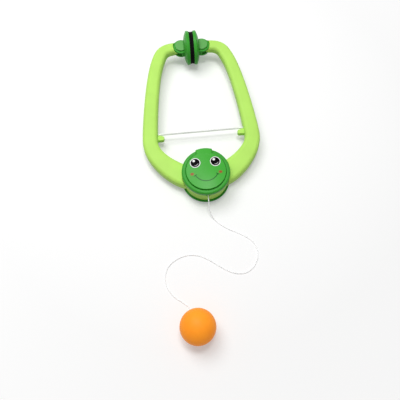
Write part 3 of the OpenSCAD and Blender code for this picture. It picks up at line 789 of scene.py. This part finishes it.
def colour_property(name, description, code):
    """A colour property whose default is an sRGB hex value."""
    return FloatVectorProperty(name=name, description=description, subtype="COLOR", size=3, min=0, max=1,
                               default=linear(code))


def size_property(name, description, millimetres):
    """A length property whose default is in millimetres."""
    return FloatProperty(name=name, description=description, default=millimetres * MM, min=0, subtype="DISTANCE",
                         unit="LENGTH", precision=5)


class TrainerColours(bpy.types.PropertyGroup):
    """Colours of the plastics, rubber, metal, cords, ball and print."""

    light_green: colour_property("Light green", "Plastic of the arms and the string's ring", "#BEF06E")
    dark_green: colour_property("Dark green", "Plastic of the covers and the pads' plates", "#3FA336")
    # Paler than the dark green: painted sheen on the pins' caps
    pin_green_painted_sheen: colour_property("Pin green", "Plastic of the pads' pins", "#63AC58")
    face_green: colour_property("Face green", "Plastic of the face plate", "#46B03B")
    rubber: colour_property("Rubber", "Pads' faces", "#0D0B0D")
    steel: colour_property("Steel", "Screws", "#C4C7CB")
    cord_white: colour_property("Cord white", "Elastic cord and string", "#FFFFFF")
    ball_orange: colour_property("Ball orange", "Ball", "#FF9E28")
    eye_white: colour_property("Eye white", "Printed eyes' whites and lights", "#FBFBFB")
    eye_black: colour_property("Eye black", "Printed eyes' pupils", "#0E0C0F")
    cheek: colour_property("Cheek", "Printed cheeks", "#A8432A")
    line_green: colour_property("Line green", "Printed smile and outlines", "#14581B")
    floor: colour_property("Floor", "Paper under the trainer", "#E3E3E3")


class TrainerSizes(bpy.types.PropertyGroup):
    """Sizes that only the looks have."""

    string_lay: size_property("String lay", "Length of one turn of the string's strands", 4.0)
    braid_lay: size_property("Braid lay", "Length of one turn of the elastic's braid", 12.0)
    parting_groove: size_property("Parting groove", "Chamfer along each arm shell's edge", 0.25)
    eye_radius: size_property("Eye radius", "Radius of a printed eye", 6.4)
    eye_offset: size_property("Eye offset", "Distance from the middle to a printed eye", 12.3)
    eye_height: size_property("Eye height", "Height of the printed eyes over the hub's axis", 10.55)
    rubber_rings: IntProperty(name="Rubber rings", description="Grip rings moulded in each rubber face", default=4,
                              min=0, max=8)


# ---------- the string's way ----------


def smooth_route(points, steps):
    """The frame's smooth curve through the route's points, with that many steps for each pair."""
    rows = [np.array(p, float) for p in points]
    last = len(rows) - 1
    made = []
    for a in range(last):
        p0, p1, p2, p3 = rows[max(a - 1, 0)], rows[a], rows[a + 1], rows[min(a + 2, last)]
        for i in range(steps):
            t = i / steps
            made.append(0.5 * (2 * p1 + (p2 - p0) * t + (2 * p0 - 5 * p1 + 4 * p2 - p3) * t * t
                               + (3 * p1 - p0 - 3 * p2 + p3) * t**3))
    return made + [rows[last]]


def ball_middle():
    """The ball's middle in the row frame, in millimetres: it touches the string's end and the ground."""
    end = Vector(ROUTE[-1])
    away = math.sqrt((BALL_R + 0.1) ** 2 - (BALL_R - end.z) ** 2)
    return Vector((end.x + away * math.cos(BALL_TURN), end.y + away * math.sin(BALL_TURN), BALL_R))


def overhand_knot(size, turns=24):
    """Points of an overhand knot about as big as a sphere of that radius, along X."""
    made = []
    for i in range(turns + 1):
        t = 2 * math.pi * (i / turns - 0.5) * 0.92
        made.append((size * 0.30 * math.sin(3 * t), size * 0.5 * (math.sin(t) + 2 * math.sin(2 * t)) / 1.9,
                     size * 0.5 * (math.cos(t) - 2 * math.cos(2 * t)) / 1.9))
    return made


def arm_place(k, t):
    """A place in that stretch of the arm's centre line: its point and way, and the arm's width and thickness there."""
    p, u, ease = STRETCHES[k], 1 - t, t * t * (3 - 2 * t)
    point = u**3 * p[0] + 3 * u * u * t * p[1] + 3 * u * t * t * p[2] + t**3 * p[3]
    way = u * u * (p[1] - p[0]) + 2 * u * t * (p[2] - p[1]) + t * t * (p[3] - p[2])
    return point, way.normalized(), *(row[k] + (row[k + 1] - row[k]) * ease for row in (ARM_WIDTHS, ARM_THICKNESSES))


# ---------- operators ----------


class Built:
    """Materials and trees that the operators share."""

    finishes = {}
    trees = {}


def laid(points, finish, sizes):
    """The mesh of a cord along points, with those sizes of the cord tree."""
    return grown(line_mesh(points), Built.trees["cord"], {**sizes, "Material": Built.finishes[finish]})


class TRAINER_OT_camera(bpy.types.Operator):
    """Sets the camera over the trainer"""

    bl_idname = "trainer.camera"
    bl_label = "Camera"

    def execute(self, context):
        data = bpy.data.cameras.new("camera")
        data.lens = CAMERA_LENS
        data.sensor_width = 36
        camera = bpy.data.objects.new("camera", data)
        camera.location = CAMERA_AT
        camera.rotation_euler = CAMERA_TURN
        context.scene.collection.objects.link(camera)
        context.scene.camera = camera
        context.scene.view_settings.view_transform = "Standard"
        return {"FINISHED"}


class TRAINER_OT_finishes(bpy.types.Operator):
    """Makes the materials and the Geometry Nodes trees"""

    bl_idname = "trainer.finishes"
    bl_label = "Finishes"

    def execute(self, context):
        colours = context.scene.trainer_colours
        middle = ball_middle()
        pole = (Vector(ROUTE[-1]) - middle).orthogonal().normalized()
        light = moulded_plastic("abs_light_green_moulded", colours.light_green, 0.4)
        dark = moulded_plastic("abs_dark_green_moulded", colours.dark_green, 0.28, bump=0.025)
        # The pins' paler green is painted sheen on their caps
        pin = moulded_plastic("abs_pale_green_painted_sheen", colours.pin_green_painted_sheen, 0.42, gloss_level=0.2, bump=0.03)
        Built.finishes = {
            "light_green": light[0],  # satin, so the arms shade softly with no clear reflections
            "dark_green": dark[0],  # smoother, so the covers' rims and the pads' saucers catch a soft light
            "pin_green_painted_sheen": pin[0],  # a paler green that is painted sheen on the pins' caps, which sets them off from the saucers
            # A smooth bright plate with flat, sharp-edged ink that doesn't stand out in relief
            "face_green": printed_plastic("abs_green_pad_printed", colours, context.scene.trainer_sizes),
            "steel": plated_steel("steel_zinc_plated", colours.steel),  # bright heads in the dark screw holes
            "rubber": moulded_rubber("rubber_black_moulded", colours.rubber),  # two black faces that take no highlight
            # A woven white cord that reads as round, with soft shades between its strands
            "elastic": spun_fibre("polyester_braid_white", colours.cord_white, 0.16, 0.0),
            # A fine white line that a painted glow keeps light on the paper
            "string": spun_fibre("nylon_twist_white", colours.cord_white, 0.12, 0.1),
            # A warm, evenly matt ball whose shaded side a painted glow keeps orange
            "ball": ball_skin("celluloid_orange_matt", colours.ball_orange, middle, pole),
        }
        Built.trees = {"arm": arm_bar_tree(), "cord": cord_tree(), "screw": screw_tree()}
        return {"FINISHED"}


class TRAINER_OT_string(bpy.types.Operator):
    """Makes the string from the hub to the ball, with the ball and the knots at its two ends"""

    bl_idname = "trainer.string"
    bl_label = "String and ball"

    def execute(self, context):
        lay = context.scene.trainer_sizes.string_lay / MM
        full = {"Lay": lay, "Core Radius": STRAND_OFF, "Strand Radius": STRING_R - STRAND_OFF, "Step": 0.4}
        # Knots are a little thinner and closer stepped, so that their turns lie side by side
        thin = {"Lay": lay, "Core Radius": 0.26, "Strand Radius": 0.3, "Step": 0.25}

        def string_piece(name, points, sizes, stands_for, place=ROW_FRAME):
            """A piece of string along points."""
            mesh = laid(points, "string", {"Strands": 3, **sizes})
            return piece(name, mesh, "hub", "string", [stands_for], place, sharp=60)

        path = smooth_route(ROUTE, 6)
        string = string_piece("string_laid", path, full, "string")

        middle = ball_middle()
        hole = Vector(ROUTE[-1]) - middle
        turn = UP.rotation_difference(hole.normalized()).to_matrix().to_4x4()
        to_ball = ROW_FRAME @ Matrix.Translation(middle) @ turn
        inner_r = BALL_R - BALL_WALL
        hole_r = STRING_R + 0.15
        outer_end, inner_end = (math.degrees(math.acos(hole_r / radius)) for radius in (BALL_R, inner_r))
        shell = arc((0, 0), BALL_R, outer_end, -90, 72)[:-1] + [(0, -BALL_R)]
        hollow = [(0, -inner_r)] + arc((0, 0), inner_r, -90, inner_end, 72)[1:]
        ball = piece("ball_shell", lathe(shell + hollow, 96), "hub", "ball", ["ball"], to_ball)

        knot_at = Vector((0, 0, inner_r - BALL_KNOT_R - 0.4))
        loop = [knot_at + Vector((y, z, x)) for x, y, z in overhand_knot(BALL_KNOT_R - STRING_R / 2)]
        inside = [(0, 0, hole.length), (0, 0, BALL_R - 1), *loop]
        ball_knot = string_piece("ball_knot_tied", inside, thin, "ball_knot", to_ball)

        start = Vector(ROUTE[0])
        post = Vector((start.x, (hub_point(0, -POST_Y, EXIT_Z) / MM).y, start.z))
        radius, opening = POST_R + STRING_R + 0.3, 0.35
        turns = np.linspace(opening, 2 * math.pi - opening, 40)
        round_post = [post + radius * Vector((math.sin(a), -math.cos(a), 0)) for a in turns]
        ring = [start, start + Vector((0, (post.y - start.y) * 0.4, 0)), *round_post]
        string_piece("string_loop_tied", ring, thin, "string_loop")

        return {"FINISHED"}


class TRAINER_OT_hub(bpy.types.Operator):
    """Makes the hub's covers, face plate and string ring"""

    bl_idname = "trainer.hub"
    bl_label = "Hub"

    def execute(self, context):
        for name, finish, mesh, stands_for in (
            ("hub_front_cover", "dark_green", self.front_cover(), "front_cover"),
            ("hub_face_plate", "face_green", self.face_plate(), "face_plate"),
            ("hub_rear_cover", "dark_green", self.rear_cover(), "rear_cover"),
            ("hub_string_ring", "light_green", self.string_ring(), "cord_ring"),
        ):
            piece(name, mesh, "hub", finish, [stands_for])
        return {"FINISHED"}

    @staticmethod
    def front_cover():
        """A cap with a rounded rim, a well for the face plate and a notch for the plate's tab."""
        roof = WELL_Z - COVER_ROOF
        roof_r, chamfer, skirt_r, brim_r, foot_r = 0.6, 0.3, 1.6, 0.4, 0.35
        profile = [(0, roof)] + fillet(COVER_WALL_R, roof, roof_r, 90, 0)
        profile += [(COVER_WALL_R, SKIRT_Z + chamfer), (COVER_WALL_R + chamfer, SKIRT_Z)]
        profile += fillet(FRONT_R, SKIRT_Z, skirt_r, -90, 0, 8) + fillet(FRONT_R, COVER_TOP, COVER_ROUND, 0, 90, 12)
        profile += fillet(WELL_R, COVER_TOP, brim_r, 90, 180, 6) + fillet(WELL_R, WELL_Z, foot_r, 0, -90)
        profile += [(0, WELL_Z)]
        half = LIP_W / 2 + LIP_GAP
        notch = block((-half, 0, COVER_TOP - LIP_SINK), (half, 2 * FRONT_R, COVER_TOP + 5))
        return carved(lathe(profile, FINE), ("DIFFERENCE", notch))

    @staticmethod
    def face_plate():
        """A crowned disc with a tab that goes out over the rim. The crown runs on into the tab."""
        rim_r = FACE_R - FACE_ROUND

        def crown(radius):
            """The plate's height there."""
            return FACE_Z + FACE_CROWN * (1 - (radius / rim_r) ** 2)

        plate = [(0, WELL_Z + SEAT), (FACE_R, WELL_Z + SEAT)] + fillet(FACE_R, FACE_Z, FACE_ROUND, 0, 90, 8)
        plate += [(rim_r * i / 24, crown(rim_r * i / 24)) for i in range(23, -1, -1)]

        lip_r, low, root, chamfer = FRONT_R + LIP_OUT, COVER_TOP - LIP_SINK + SEAT, FACE_R - 4, 0.3
        round_at = lip_r - LIP_ROUND
        lip = [(root, low), (lip_r - chamfer, low), (lip_r, low + chamfer)]
        lip += fillet(lip_r, crown(round_at), LIP_ROUND, 0, 78, 6)
        lip += [(r, crown(r) + 0.01) for r in np.linspace(round_at - 0.1, FACE_R - 3, 10)]
        lip += [(root, crown(root) - 0.3)]
        # The tab's sides lean in above the rim
        side = [(LIP_W / 2, 0), (LIP_W / 2, COVER_TOP - 0.4), (LIP_W / 2 - 1.8, COVER_TOP + 2.4)]
        section = side + [(-x, z) for x, z in reversed(side)]
        sector = stacked([[(x, y, z) for x, z in section] for y in (0, 2 * FRONT_R)])
        return carved(lathe(plate, FINE), ("UNION", carved(lathe(lip, FINE), ("INTERSECT", sector))))

    @staticmethod
    def rear_cover():
        """A flange with the drum on which the arms turn, and the screws' holes."""
        foot_r, edge, chamfer = 2, 0.5, 0.3
        profile = [(0, 0)] + fillet(REAR_R, 0, foot_r, -90, 0, 8) + fillet(REAR_R, REAR_T, edge, 0, 90)
        profile += [(DRUM_R, REAR_T), (DRUM_R, CORD_RING_Z - chamfer)]
        profile += [(DRUM_R - chamfer, CORD_RING_Z), (0, CORD_RING_Z)]
        holes = []
        for at in SCREW_RING:
            holes.append(rod(COVER_SCREW[0] + 0.4, SCREW_SEAT_Z - 1, CORD_RING_Z + 1, at=at, segments=32))
            holes.append(sunk_hole(COVER_SCREW[1] + SCREW_GAP, 0, SCREW_SEAT_Z, at))
        return carved(lathe(profile, FINE), ("DIFFERENCE", *holes))

    @staticmethod
    def string_ring():
        """A floor and a wall with the string's hole, and the post for its loop."""
        floor = CORD_RING_Z + CORD_FLOOR
        wall = [(CORD_FLOOR_R, CORD_RING_Z)] + rounded(BAND_R, CORD_RING_Z, SKIRT_Z, 0.35)
        wall += [(CORD_WALL_R, SKIRT_Z), (CORD_WALL_R, floor), (CORD_FLOOR_R, floor)]
        # The hole is an oval with a rounded outer rim
        hole_r, rim, oval = EXIT_R + 0.3, 0.35, 1.22
        rim_points = [(hole_r, 3.0), (hole_r + 0.1, 3.2), (hole_r + rim, 3.45), (hole_r + rim, 6)]
        drill = lathe([(0, 0), (hole_r, 0), *rim_points, (0, 6)], 48)
        drill.transform(Matrix.Translation((0, -CORD_WALL_R + 0.2, EXIT_Z)) @ Matrix.Rotation(math.radians(90), 4, "X")
                        @ Matrix.Scale(oval, 4, Vector((0, 1, 0))))
        post = rod(POST_R, floor - 0.5, SKIRT_Z - 1, edge=0.3, at=(0, -POST_Y), segments=40)
        return carved(lathe(wall, FINE), ("DIFFERENCE", drill), ("UNION", post))


class TRAINER_OT_arms(bpy.types.Operator):
    """Makes the front and rear shells of both arms"""

    bl_idname = "trainer.arms"
    bl_label = "Arms"

    def execute(self, context):
        self.groove = context.scene.trainer_sizes.parting_groove / MM
        # The left arm's eye lies in front of the right one's, so it is on its front shell, and the right's on its rear
        eyes = {"left": (FRONT_EYE_Z, None), "right": (None, REAR_EYE_Z)}
        for side, turn in SIDES.items():
            for name, shell, eye_z in zip(("front", "rear"), (self.front_shell, self.rear_shell), eyes[side]):
                mesh = moved(shell(eye_z), turn)
                piece(f"arm_{side}_{name}_shell", mesh, f"{side}_arm", "light_green", [f"{side}_arm_{name}"])
        return {"FINISHED"}

    @staticmethod
    def stations(hollow, steps=40):
        """A mesh line along the arm's centre line, whose points carry the arm's direction, width and thickness."""
        places = [(k, i / steps) for k in range(len(STRETCHES)) for i in range(steps + 1) if k == 0 or i > 0]
        if hollow:
            rows = [arm_place(*place) for place in places if HOLLOW_FROM <= place <= HOLLOW_TO]
        else:
            rows = [(ROOT - ROOT_RUN * ROOT_DIR, ROOT_DIR, ARM_WIDTHS[0], ARM_THICKNESSES[0])]
            rows += [arm_place(*place) for place in places]
        mesh = line_mesh([(*point, 0) for point, *_ in rows])
        across = mesh.attributes.new("across", "FLOAT_VECTOR", "POINT")
        across.data.foreach_set("vector", [c for _, way, *_ in rows for c in (way.y, -way.x, 0)])
        for name, column in (("width", 2), ("thickness", 3)):
            mesh.attributes.new(name, "FLOAT", "POINT").data.foreach_set("value", [row[column] for row in rows])
        return mesh

    def bar(self, front, inset):
        """One shell's outer form, or with an inset the hollow in it, on the parting plane."""
        hollow = inset > 0
        mesh = grown(self.stations(hollow), Built.trees["arm"], {
            "Arc Steps": 6 if hollow else 10,
            "Rounding": FRONT_ROUND if front else REAR_ROUND,
            "Rise": MID_Z - PART_Z if front else PART_Z - MID_Z,
            "Inset": inset,
            "Groove": 0.0 if hollow else self.groove,
            "Material": Built.finishes["light_green"],
        })
        if hollow:
            # The hollow's foot goes a little past the parting plane, so that the shell is open there
            for vertex in mesh.vertices:
                if vertex.co.z < 0.01:
                    vertex.co.z = -1.0
        return outward(mesh)

    @staticmethod
    def lug():
        """Half of the lug beside the elastic, on the parting plane. Its upper side falls as far as the arm turns."""
        length, width, height, corner = LUG
        tip_x, top = INNER_X - length, LUG_Y + width
        fall = 15.5
        slope = math.radians(fall)
        high = top - (length - corner) * math.tan(slope) - corner / math.cos(slope)
        outline = [(INNER_X + WALL / 2, LUG_Y), (INNER_X + WALL / 2, top), (INNER_X, top)]
        outline += arc((tip_x + corner, high), corner, 90 + fall, 180, 8)
        outline += fillet(tip_x, LUG_Y, corner, 180, 270, 8)
        return prism(outline, 0, height, edge=0.8)

    def half(self, front):
        """A hollow shell with its half of the lug, in its place, and the cutter for the elastic's hole."""
        shell = carved(self.bar(front, 0), ("DIFFERENCE", self.bar(front, WALL)), ("UNION", self.lug()))
        moved(shell, Matrix.Translation((0, 0, PART_Z)) @ Matrix.Scale(1 if front else -1, 4, UP))
        # The hole's rim is rounded, and it widens inwards as far as the arm turns
        flare, radius = 0.45, ELASTIC_R + 0.25
        rim = [(radius + flare, -4), (radius + flare, 0), (radius + 0.15, 0.2), (radius, flare)]
        hole = lathe([(0, -4), *rim, (radius, NARROW + 0.1), (radius + 1.5, 6), (0, 6)], 40)
        hole.transform(Matrix.Translation((INNER_X, ELASTIC_Y, PART_Z)) @ ALONG_X)
        return shell, hole

    @staticmethod
    def eye_steps(eye_z):
        """Cutters for the room round the hub, and the eye at that height that turns on the drum, if there is one."""
        if eye_z is None:
            return [rod(BODY_CUT_R, 0, COVER_TOP, segments=FINE)], []
        over, under = (eye_z + EYE_T, COVER_TOP), (0, eye_z)
        bore = DRUM_R + BORE_GAP
        eye = [(bore, eye_z)] + rounded(BAND_R, eye_z, eye_z + EYE_T, 0.35) + [(bore, eye_z + EYE_T)]
        return [rod(BODY_CUT_R, *reach, segments=FINE) for reach in (over, under)], [lathe(eye, FINE)]

    def front_shell(self, eye_z):
        """The shell with the tongue that holds the pad's pin."""
        shell, hole = self.half(True)
        cuts, eye = self.eye_steps(eye_z)
        low, high = MID_Z - TONGUE_T / 2, MID_Z + TONGUE_T / 2
        for reach in ((high, COVER_TOP), (0, low)):
            cuts.append(rod(EAR_R + TIP_GAP, *reach, at=PIN))
        neck = block((PIN_X, REACH - TONGUE_R, low), (PIN_X + TIP_GAP + EAR_R + 4, REACH + TONGUE_R, high))
        tongue = carved(neck, ("UNION", rod(TONGUE_R, low, high, edge=0.4, at=PIN)))
        bore = rod(PIN_R + BORE_GAP, 0, COVER_TOP, at=PIN, segments=48)
        return carved(shell, ("DIFFERENCE", hole, *cuts), ("UNION", tongue, *eye), ("DIFFERENCE", bore))

    def rear_shell(self, eye_z):
        """The shell with the screws' bosses and holes."""
        shell, hole = self.half(False)
        cuts, eye = self.eye_steps(eye_z)
        cuts.append(rod(EAR_R + TIP_GAP, 0, COVER_TOP, at=PIN))
        bosses = []
        for k, t in ARM_SCREW_AT:
            at, _, _, thickness = arm_place(k, t)
            bottom = MID_Z - thickness / 2
            bosses.append(rod(ARM_BOSS_R, bottom + WALL / 2, PART_Z - 0.01, at=at, segments=48))
            cuts.append(rod(ARM_SCREW[0] + SCREW_GAP, 0, PART_Z + 1, at=at, segments=32))
            cuts.append(sunk_hole(ARM_SCREW[1] + SCREW_GAP, bottom, ARM_SEAT_Z, at))
        return carved(shell, ("UNION", *bosses), ("DIFFERENCE", hole, *cuts), ("UNION", *eye))


class TRAINER_OT_pads(bpy.types.Operator):
    """Makes the pads' plates, rubber faces and pins"""

    bl_idname = "trainer.pads"
    bl_label = "Pads"

    def execute(self, context):
        rings = context.scene.trainer_sizes.rubber_rings
        for side, turn in SIDES.items():
            for name, finish, mesh in (
                ("plate", "dark_green", self.plate()),
                ("pin", "pin_green_painted_sheen", self.pin()),
                ("rubber", "rubber", self.rubber(rings)),
            ):
                piece(f"pad_{side}_{name}", moved(mesh, turn), f"{side}_pad", finish, [f"{side}_pad_{name}"])
        return {"FINISHED"}

    @staticmethod
    def about_pad_axis(profile):
        """Turns a profile of (distance from the pad's axis, distance along X) about that axis."""
        return moved(lathe(profile), Matrix.Translation((0, REACH, MID_Z)) @ ALONG_X)

    @staticmethod
    def nearer_than(x):
        """A cutter for all of a pad that is nearer to the middle than that."""
        return block((x - PAD_R, REACH - PAD_R, 0), (x, REACH + PAD_R, COVER_TOP))

    def plate(self):
        """A saucer whose back carries two ears and the rear cap."""
        back, edge, round_r = PLATE_X + SAUCER_RIM, 0.5, 1.6
        dome_r, rise = PAD_R - round_r, SAUCER_CROWN - SAUCER_RIM
        profile = [(0, PLATE_X), (PAD_R - edge, PLATE_X)] + fillet(PAD_R, back, round_r, -30, 90, 12)
        profile += [(dome_r * i / 32, back + rise * (1 - (i / 32) ** SAUCER_POWER)) for i in range(31, -1, -1)]
        ears = carved(rod(EAR_R, MID_Z - EAR_Z, MID_Z + EAR_Z, edge=0.55, at=PIN, segments=128),
                      ("UNION", rod(CAP_R, MID_Z - REAR_BOSS_Z, MID_Z, edge=0.6, at=PIN, segments=128)),
                      ("DIFFERENCE", self.nearer_than(PLATE_X + 0.5)))
        low, high = MID_Z - SLOT_HALF, MID_Z + SLOT_HALF
        slot = rod(TONGUE_R + TIP_GAP, low, high, at=PIN)
        gap = block((PIN_X, REACH - PAD_R, low), (PIN_X + 2 * EAR_R, REACH + PAD_R, high))
        bore = rod(PIN_R + 0.02, MID_Z - REAR_BOSS_Z + 1.2, COVER_TOP, at=PIN, segments=48)
        return carved(self.about_pad_axis(profile), ("UNION", ears), ("DIFFERENCE", slot, gap, bore))

    def pin(self):
        """A shank with a round cap that is cut flat beside the saucer."""
        low, top, round_r = MID_Z + EAR_Z, MID_Z + EAR_Z + CAP_H, 0.7
        cap = [(0, low + 0.01), (CAP_R - 0.15, low + 0.01), (CAP_R, low + 0.2)]
        cap += fillet(CAP_R, top, round_r, 0, 90, 6) + [(0, top)]
        shank = rod(PIN_R, MID_Z - REAR_BOSS_Z + 1.4, low + 0.5, edge=0.3, at=PIN, segments=48)
        placed = moved(lathe(cap, 128), Matrix.Translation((*PIN, 0)))
        return carved(placed, ("DIFFERENCE", self.nearer_than(CAP_FLAT_X)), ("UNION", shank))

    def rubber(self, rings):
        """A disc with a rounded edge and shallow grip rings."""
        first, margin, groove, half, floor, edge = 4.5, 1.0, 0.4, 0.8, 0.45, 0.6
        profile = [(0, FACE_GAP)]
        pitch = (RUBBER_R - first - margin) / max(rings, 1)
        for i in range(rings):
            middle = first + pitch * (i + 0.5)
            profile += [(middle + off, FACE_GAP + depth) for off, depth in
                        ((-half, 0), (-floor, groove), (floor, groove), (half, 0))]
        profile += fillet(RUBBER_R, FACE_GAP, edge, -90, 0, 6)
        return self.about_pad_axis(profile + [(RUBBER_R, PLATE_X), (0, PLATE_X)])


class TRAINER_OT_screws(bpy.types.Operator):
    """Puts in the cover's and the arms' screws"""

    bl_idname = "trainer.screws"
    bl_label = "Screws"

    def execute(self, context):
        cover_seats = [(*at, SCREW_SEAT_Z) for at in SCREW_RING]
        arm_seats = [(*arm_place(k, t)[0], ARM_SEAT_Z) for k, t in ARM_SCREW_AT]
        rows = [("hub_cover_screws", "hub", "cover_screws", cover_seats, COVER_SCREW, SIDES["right"])]
        for side, turn in SIDES.items():
            rows.append((f"arm_{side}_screw_set", f"{side}_arm", f"{side}_arm_screws", arm_seats, ARM_SCREW, turn))
        for name, body, stands_for, seats, (shank_r, head_r, head_h, length), turn in rows:
            mesh = grown(mesh_of(seats), Built.trees["screw"], {
                "Shank Radius": shank_r, "Head Radius": head_r, "Head Height": head_h, "Length": length,
                "Recess Width": 0.24 * head_r, "Recess Depth": 0.55 * head_h, "Material": Built.finishes["steel"]})
            piece(name, moved(mesh, turn), body, "steel", [stands_for])
        return {"FINISHED"}


class TRAINER_OT_elastic(bpy.types.Operator):
    """Makes the braided elastic cord and its two knots inside the arms"""

    bl_idname = "trainer.elastic"
    bl_label = "Elastic"

    def execute(self, context):
        lay = context.scene.trainer_sizes.braid_lay / MM
        line = [(x, ELASTIC_Y, PART_Z) for x in (-ELASTIC_END_X, 0, ELASTIC_END_X)]
        # Two halves of the braid turn opposite ways and weave in and out of each other, round a plain core
        core_r, strand_r, weave = 1.02, 0.33, 0.09
        woven = {"Strands": 6, "Core Radius": ELASTIC_R - strand_r - weave, "Strand Radius": strand_r, "Step": 0.5}
        halves = [laid(line, "elastic", {**woven, "Lay": way * lay, "Weave": way * weave}) for way in (1, -1)]
        core = rod(core_r, -ELASTIC_END_X, ELASTIC_END_X, segments=24)
        core.transform(Matrix.Translation((0, ELASTIC_Y, PART_Z)) @ ALONG_X)
        braid = piece("elastic_braid", joined(core, *halves), "hub", "elastic", ["elastic_cord"], sharp=60)
        # It stays straight between the arms' holes, which come closer to the hub as the arms open
        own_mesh(braid)

        thick = {"Strands": 4, "Lay": 6.0, "Core Radius": 0.45, "Strand Radius": 0.5, "Step": 0.4}
        points = [Vector((KNOT_X, ELASTIC_Y, PART_Z)) + Vector(p) for p in overhand_knot(KNOT_R - 0.9, 32)]
        for side, turn in SIDES.items():
            knot = moved(laid(points, "elastic", thick), turn)
            piece(f"elastic_knot_{side}", knot, f"{side}_arm", "elastic", sharp=60)
        return {"FINISHED"}


class TRAINER_OT_stage(bpy.types.Operator):
    """Lays the floor and lights it"""

    bl_idname = "trainer.stage"
    bl_label = "Stage"

    def execute(self, context):
        corners = [(x * FLOOR_HALF, y * FLOOR_HALF, FLOOR_Z) for x, y in ((-1, -1), (1, -1), (1, 1), (-1, 1))]
        mesh = mesh_of(corners, [(0, 1, 2, 3)])
        # Even white paper with a soft grey shadow, and no grain or gloss to see
        mesh.materials.append(floor_paper("paper_white", context.scene.trainer_colours.floor))
        floor = bpy.data.objects.new("floor", mesh)
        context.scene.collection.objects.link(floor)

        world = bpy.data.worlds.new("studio")
        context.scene.world = world
        world.use_nodes = True
        back = world.node_tree.nodes["Background"]
        back.inputs["Color"].default_value = (1, 1, 1, 1)
        add = partial(node, world.node_tree)
        feed(back, Strength=add("MapRange", seen_ray(add), 0.0, 1.0, WORLD_STRENGTH, 1.0))

        for name, place, size, power in LAMPS:
            data = bpy.data.lights.new(name, "AREA")
            data.shape = "DISK"
            data.size = size
            data.energy = power
            lamp = bpy.data.objects.new(name, data)
            lamp.location = place
            lamp.rotation_euler = (LAMP_AIM - Vector(place)).to_track_quat("-Z", "Y").to_euler()
            context.scene.collection.objects.link(lamp)
        return {"FINISHED"}


OPERATORS = (
    TRAINER_OT_camera,
    TRAINER_OT_finishes,
    TRAINER_OT_string,
    TRAINER_OT_hub,
    TRAINER_OT_arms,
    TRAINER_OT_pads,
    TRAINER_OT_screws,
    TRAINER_OT_elastic,
    TRAINER_OT_stage,
)


class TRAINER_PT_panel(bpy.types.Panel):
    """Lists the trainer's colours and sizes, and a button for each step that builds it."""

    bl_idname = "TRAINER_PT_panel"
    bl_label = "Table Tennis Trainer"
    bl_space_type = "VIEW_3D"
    bl_region_type = "UI"
    bl_category = "Trainer"

    def draw(self, context):
        for group in (context.scene.trainer_colours, context.scene.trainer_sizes):
            box = self.layout.box()
            for name in group.__annotations__:
                box.prop(group, name)
        for operator in OPERATORS:
            self.layout.operator(operator.bl_idname)


CLASSES = (TrainerColours, TrainerSizes, *OPERATORS, TRAINER_PT_panel)


def register():
    """Registers the classes and the scene's settings."""
    for made in CLASSES:
        bpy.utils.register_class(made)
    bpy.types.Scene.trainer_colours = PointerProperty(type=TrainerColours)
    bpy.types.Scene.trainer_sizes = PointerProperty(type=TrainerSizes)


def unregister():
    """Takes them away again."""
    del bpy.types.Scene.trainer_sizes
    del bpy.types.Scene.trainer_colours
    for made in reversed(CLASSES):
        bpy.utils.unregister_class(made)


def main():
    """Makes everything in order."""
    register()
    for operator in OPERATORS:
        group, name = operator.bl_idname.split(".")
        if getattr(getattr(bpy.ops, group), name)() != {"FINISHED"}:
            raise RuntimeError(f"{operator.bl_idname} didn't finish")


if __name__ == "__main__":
    main()
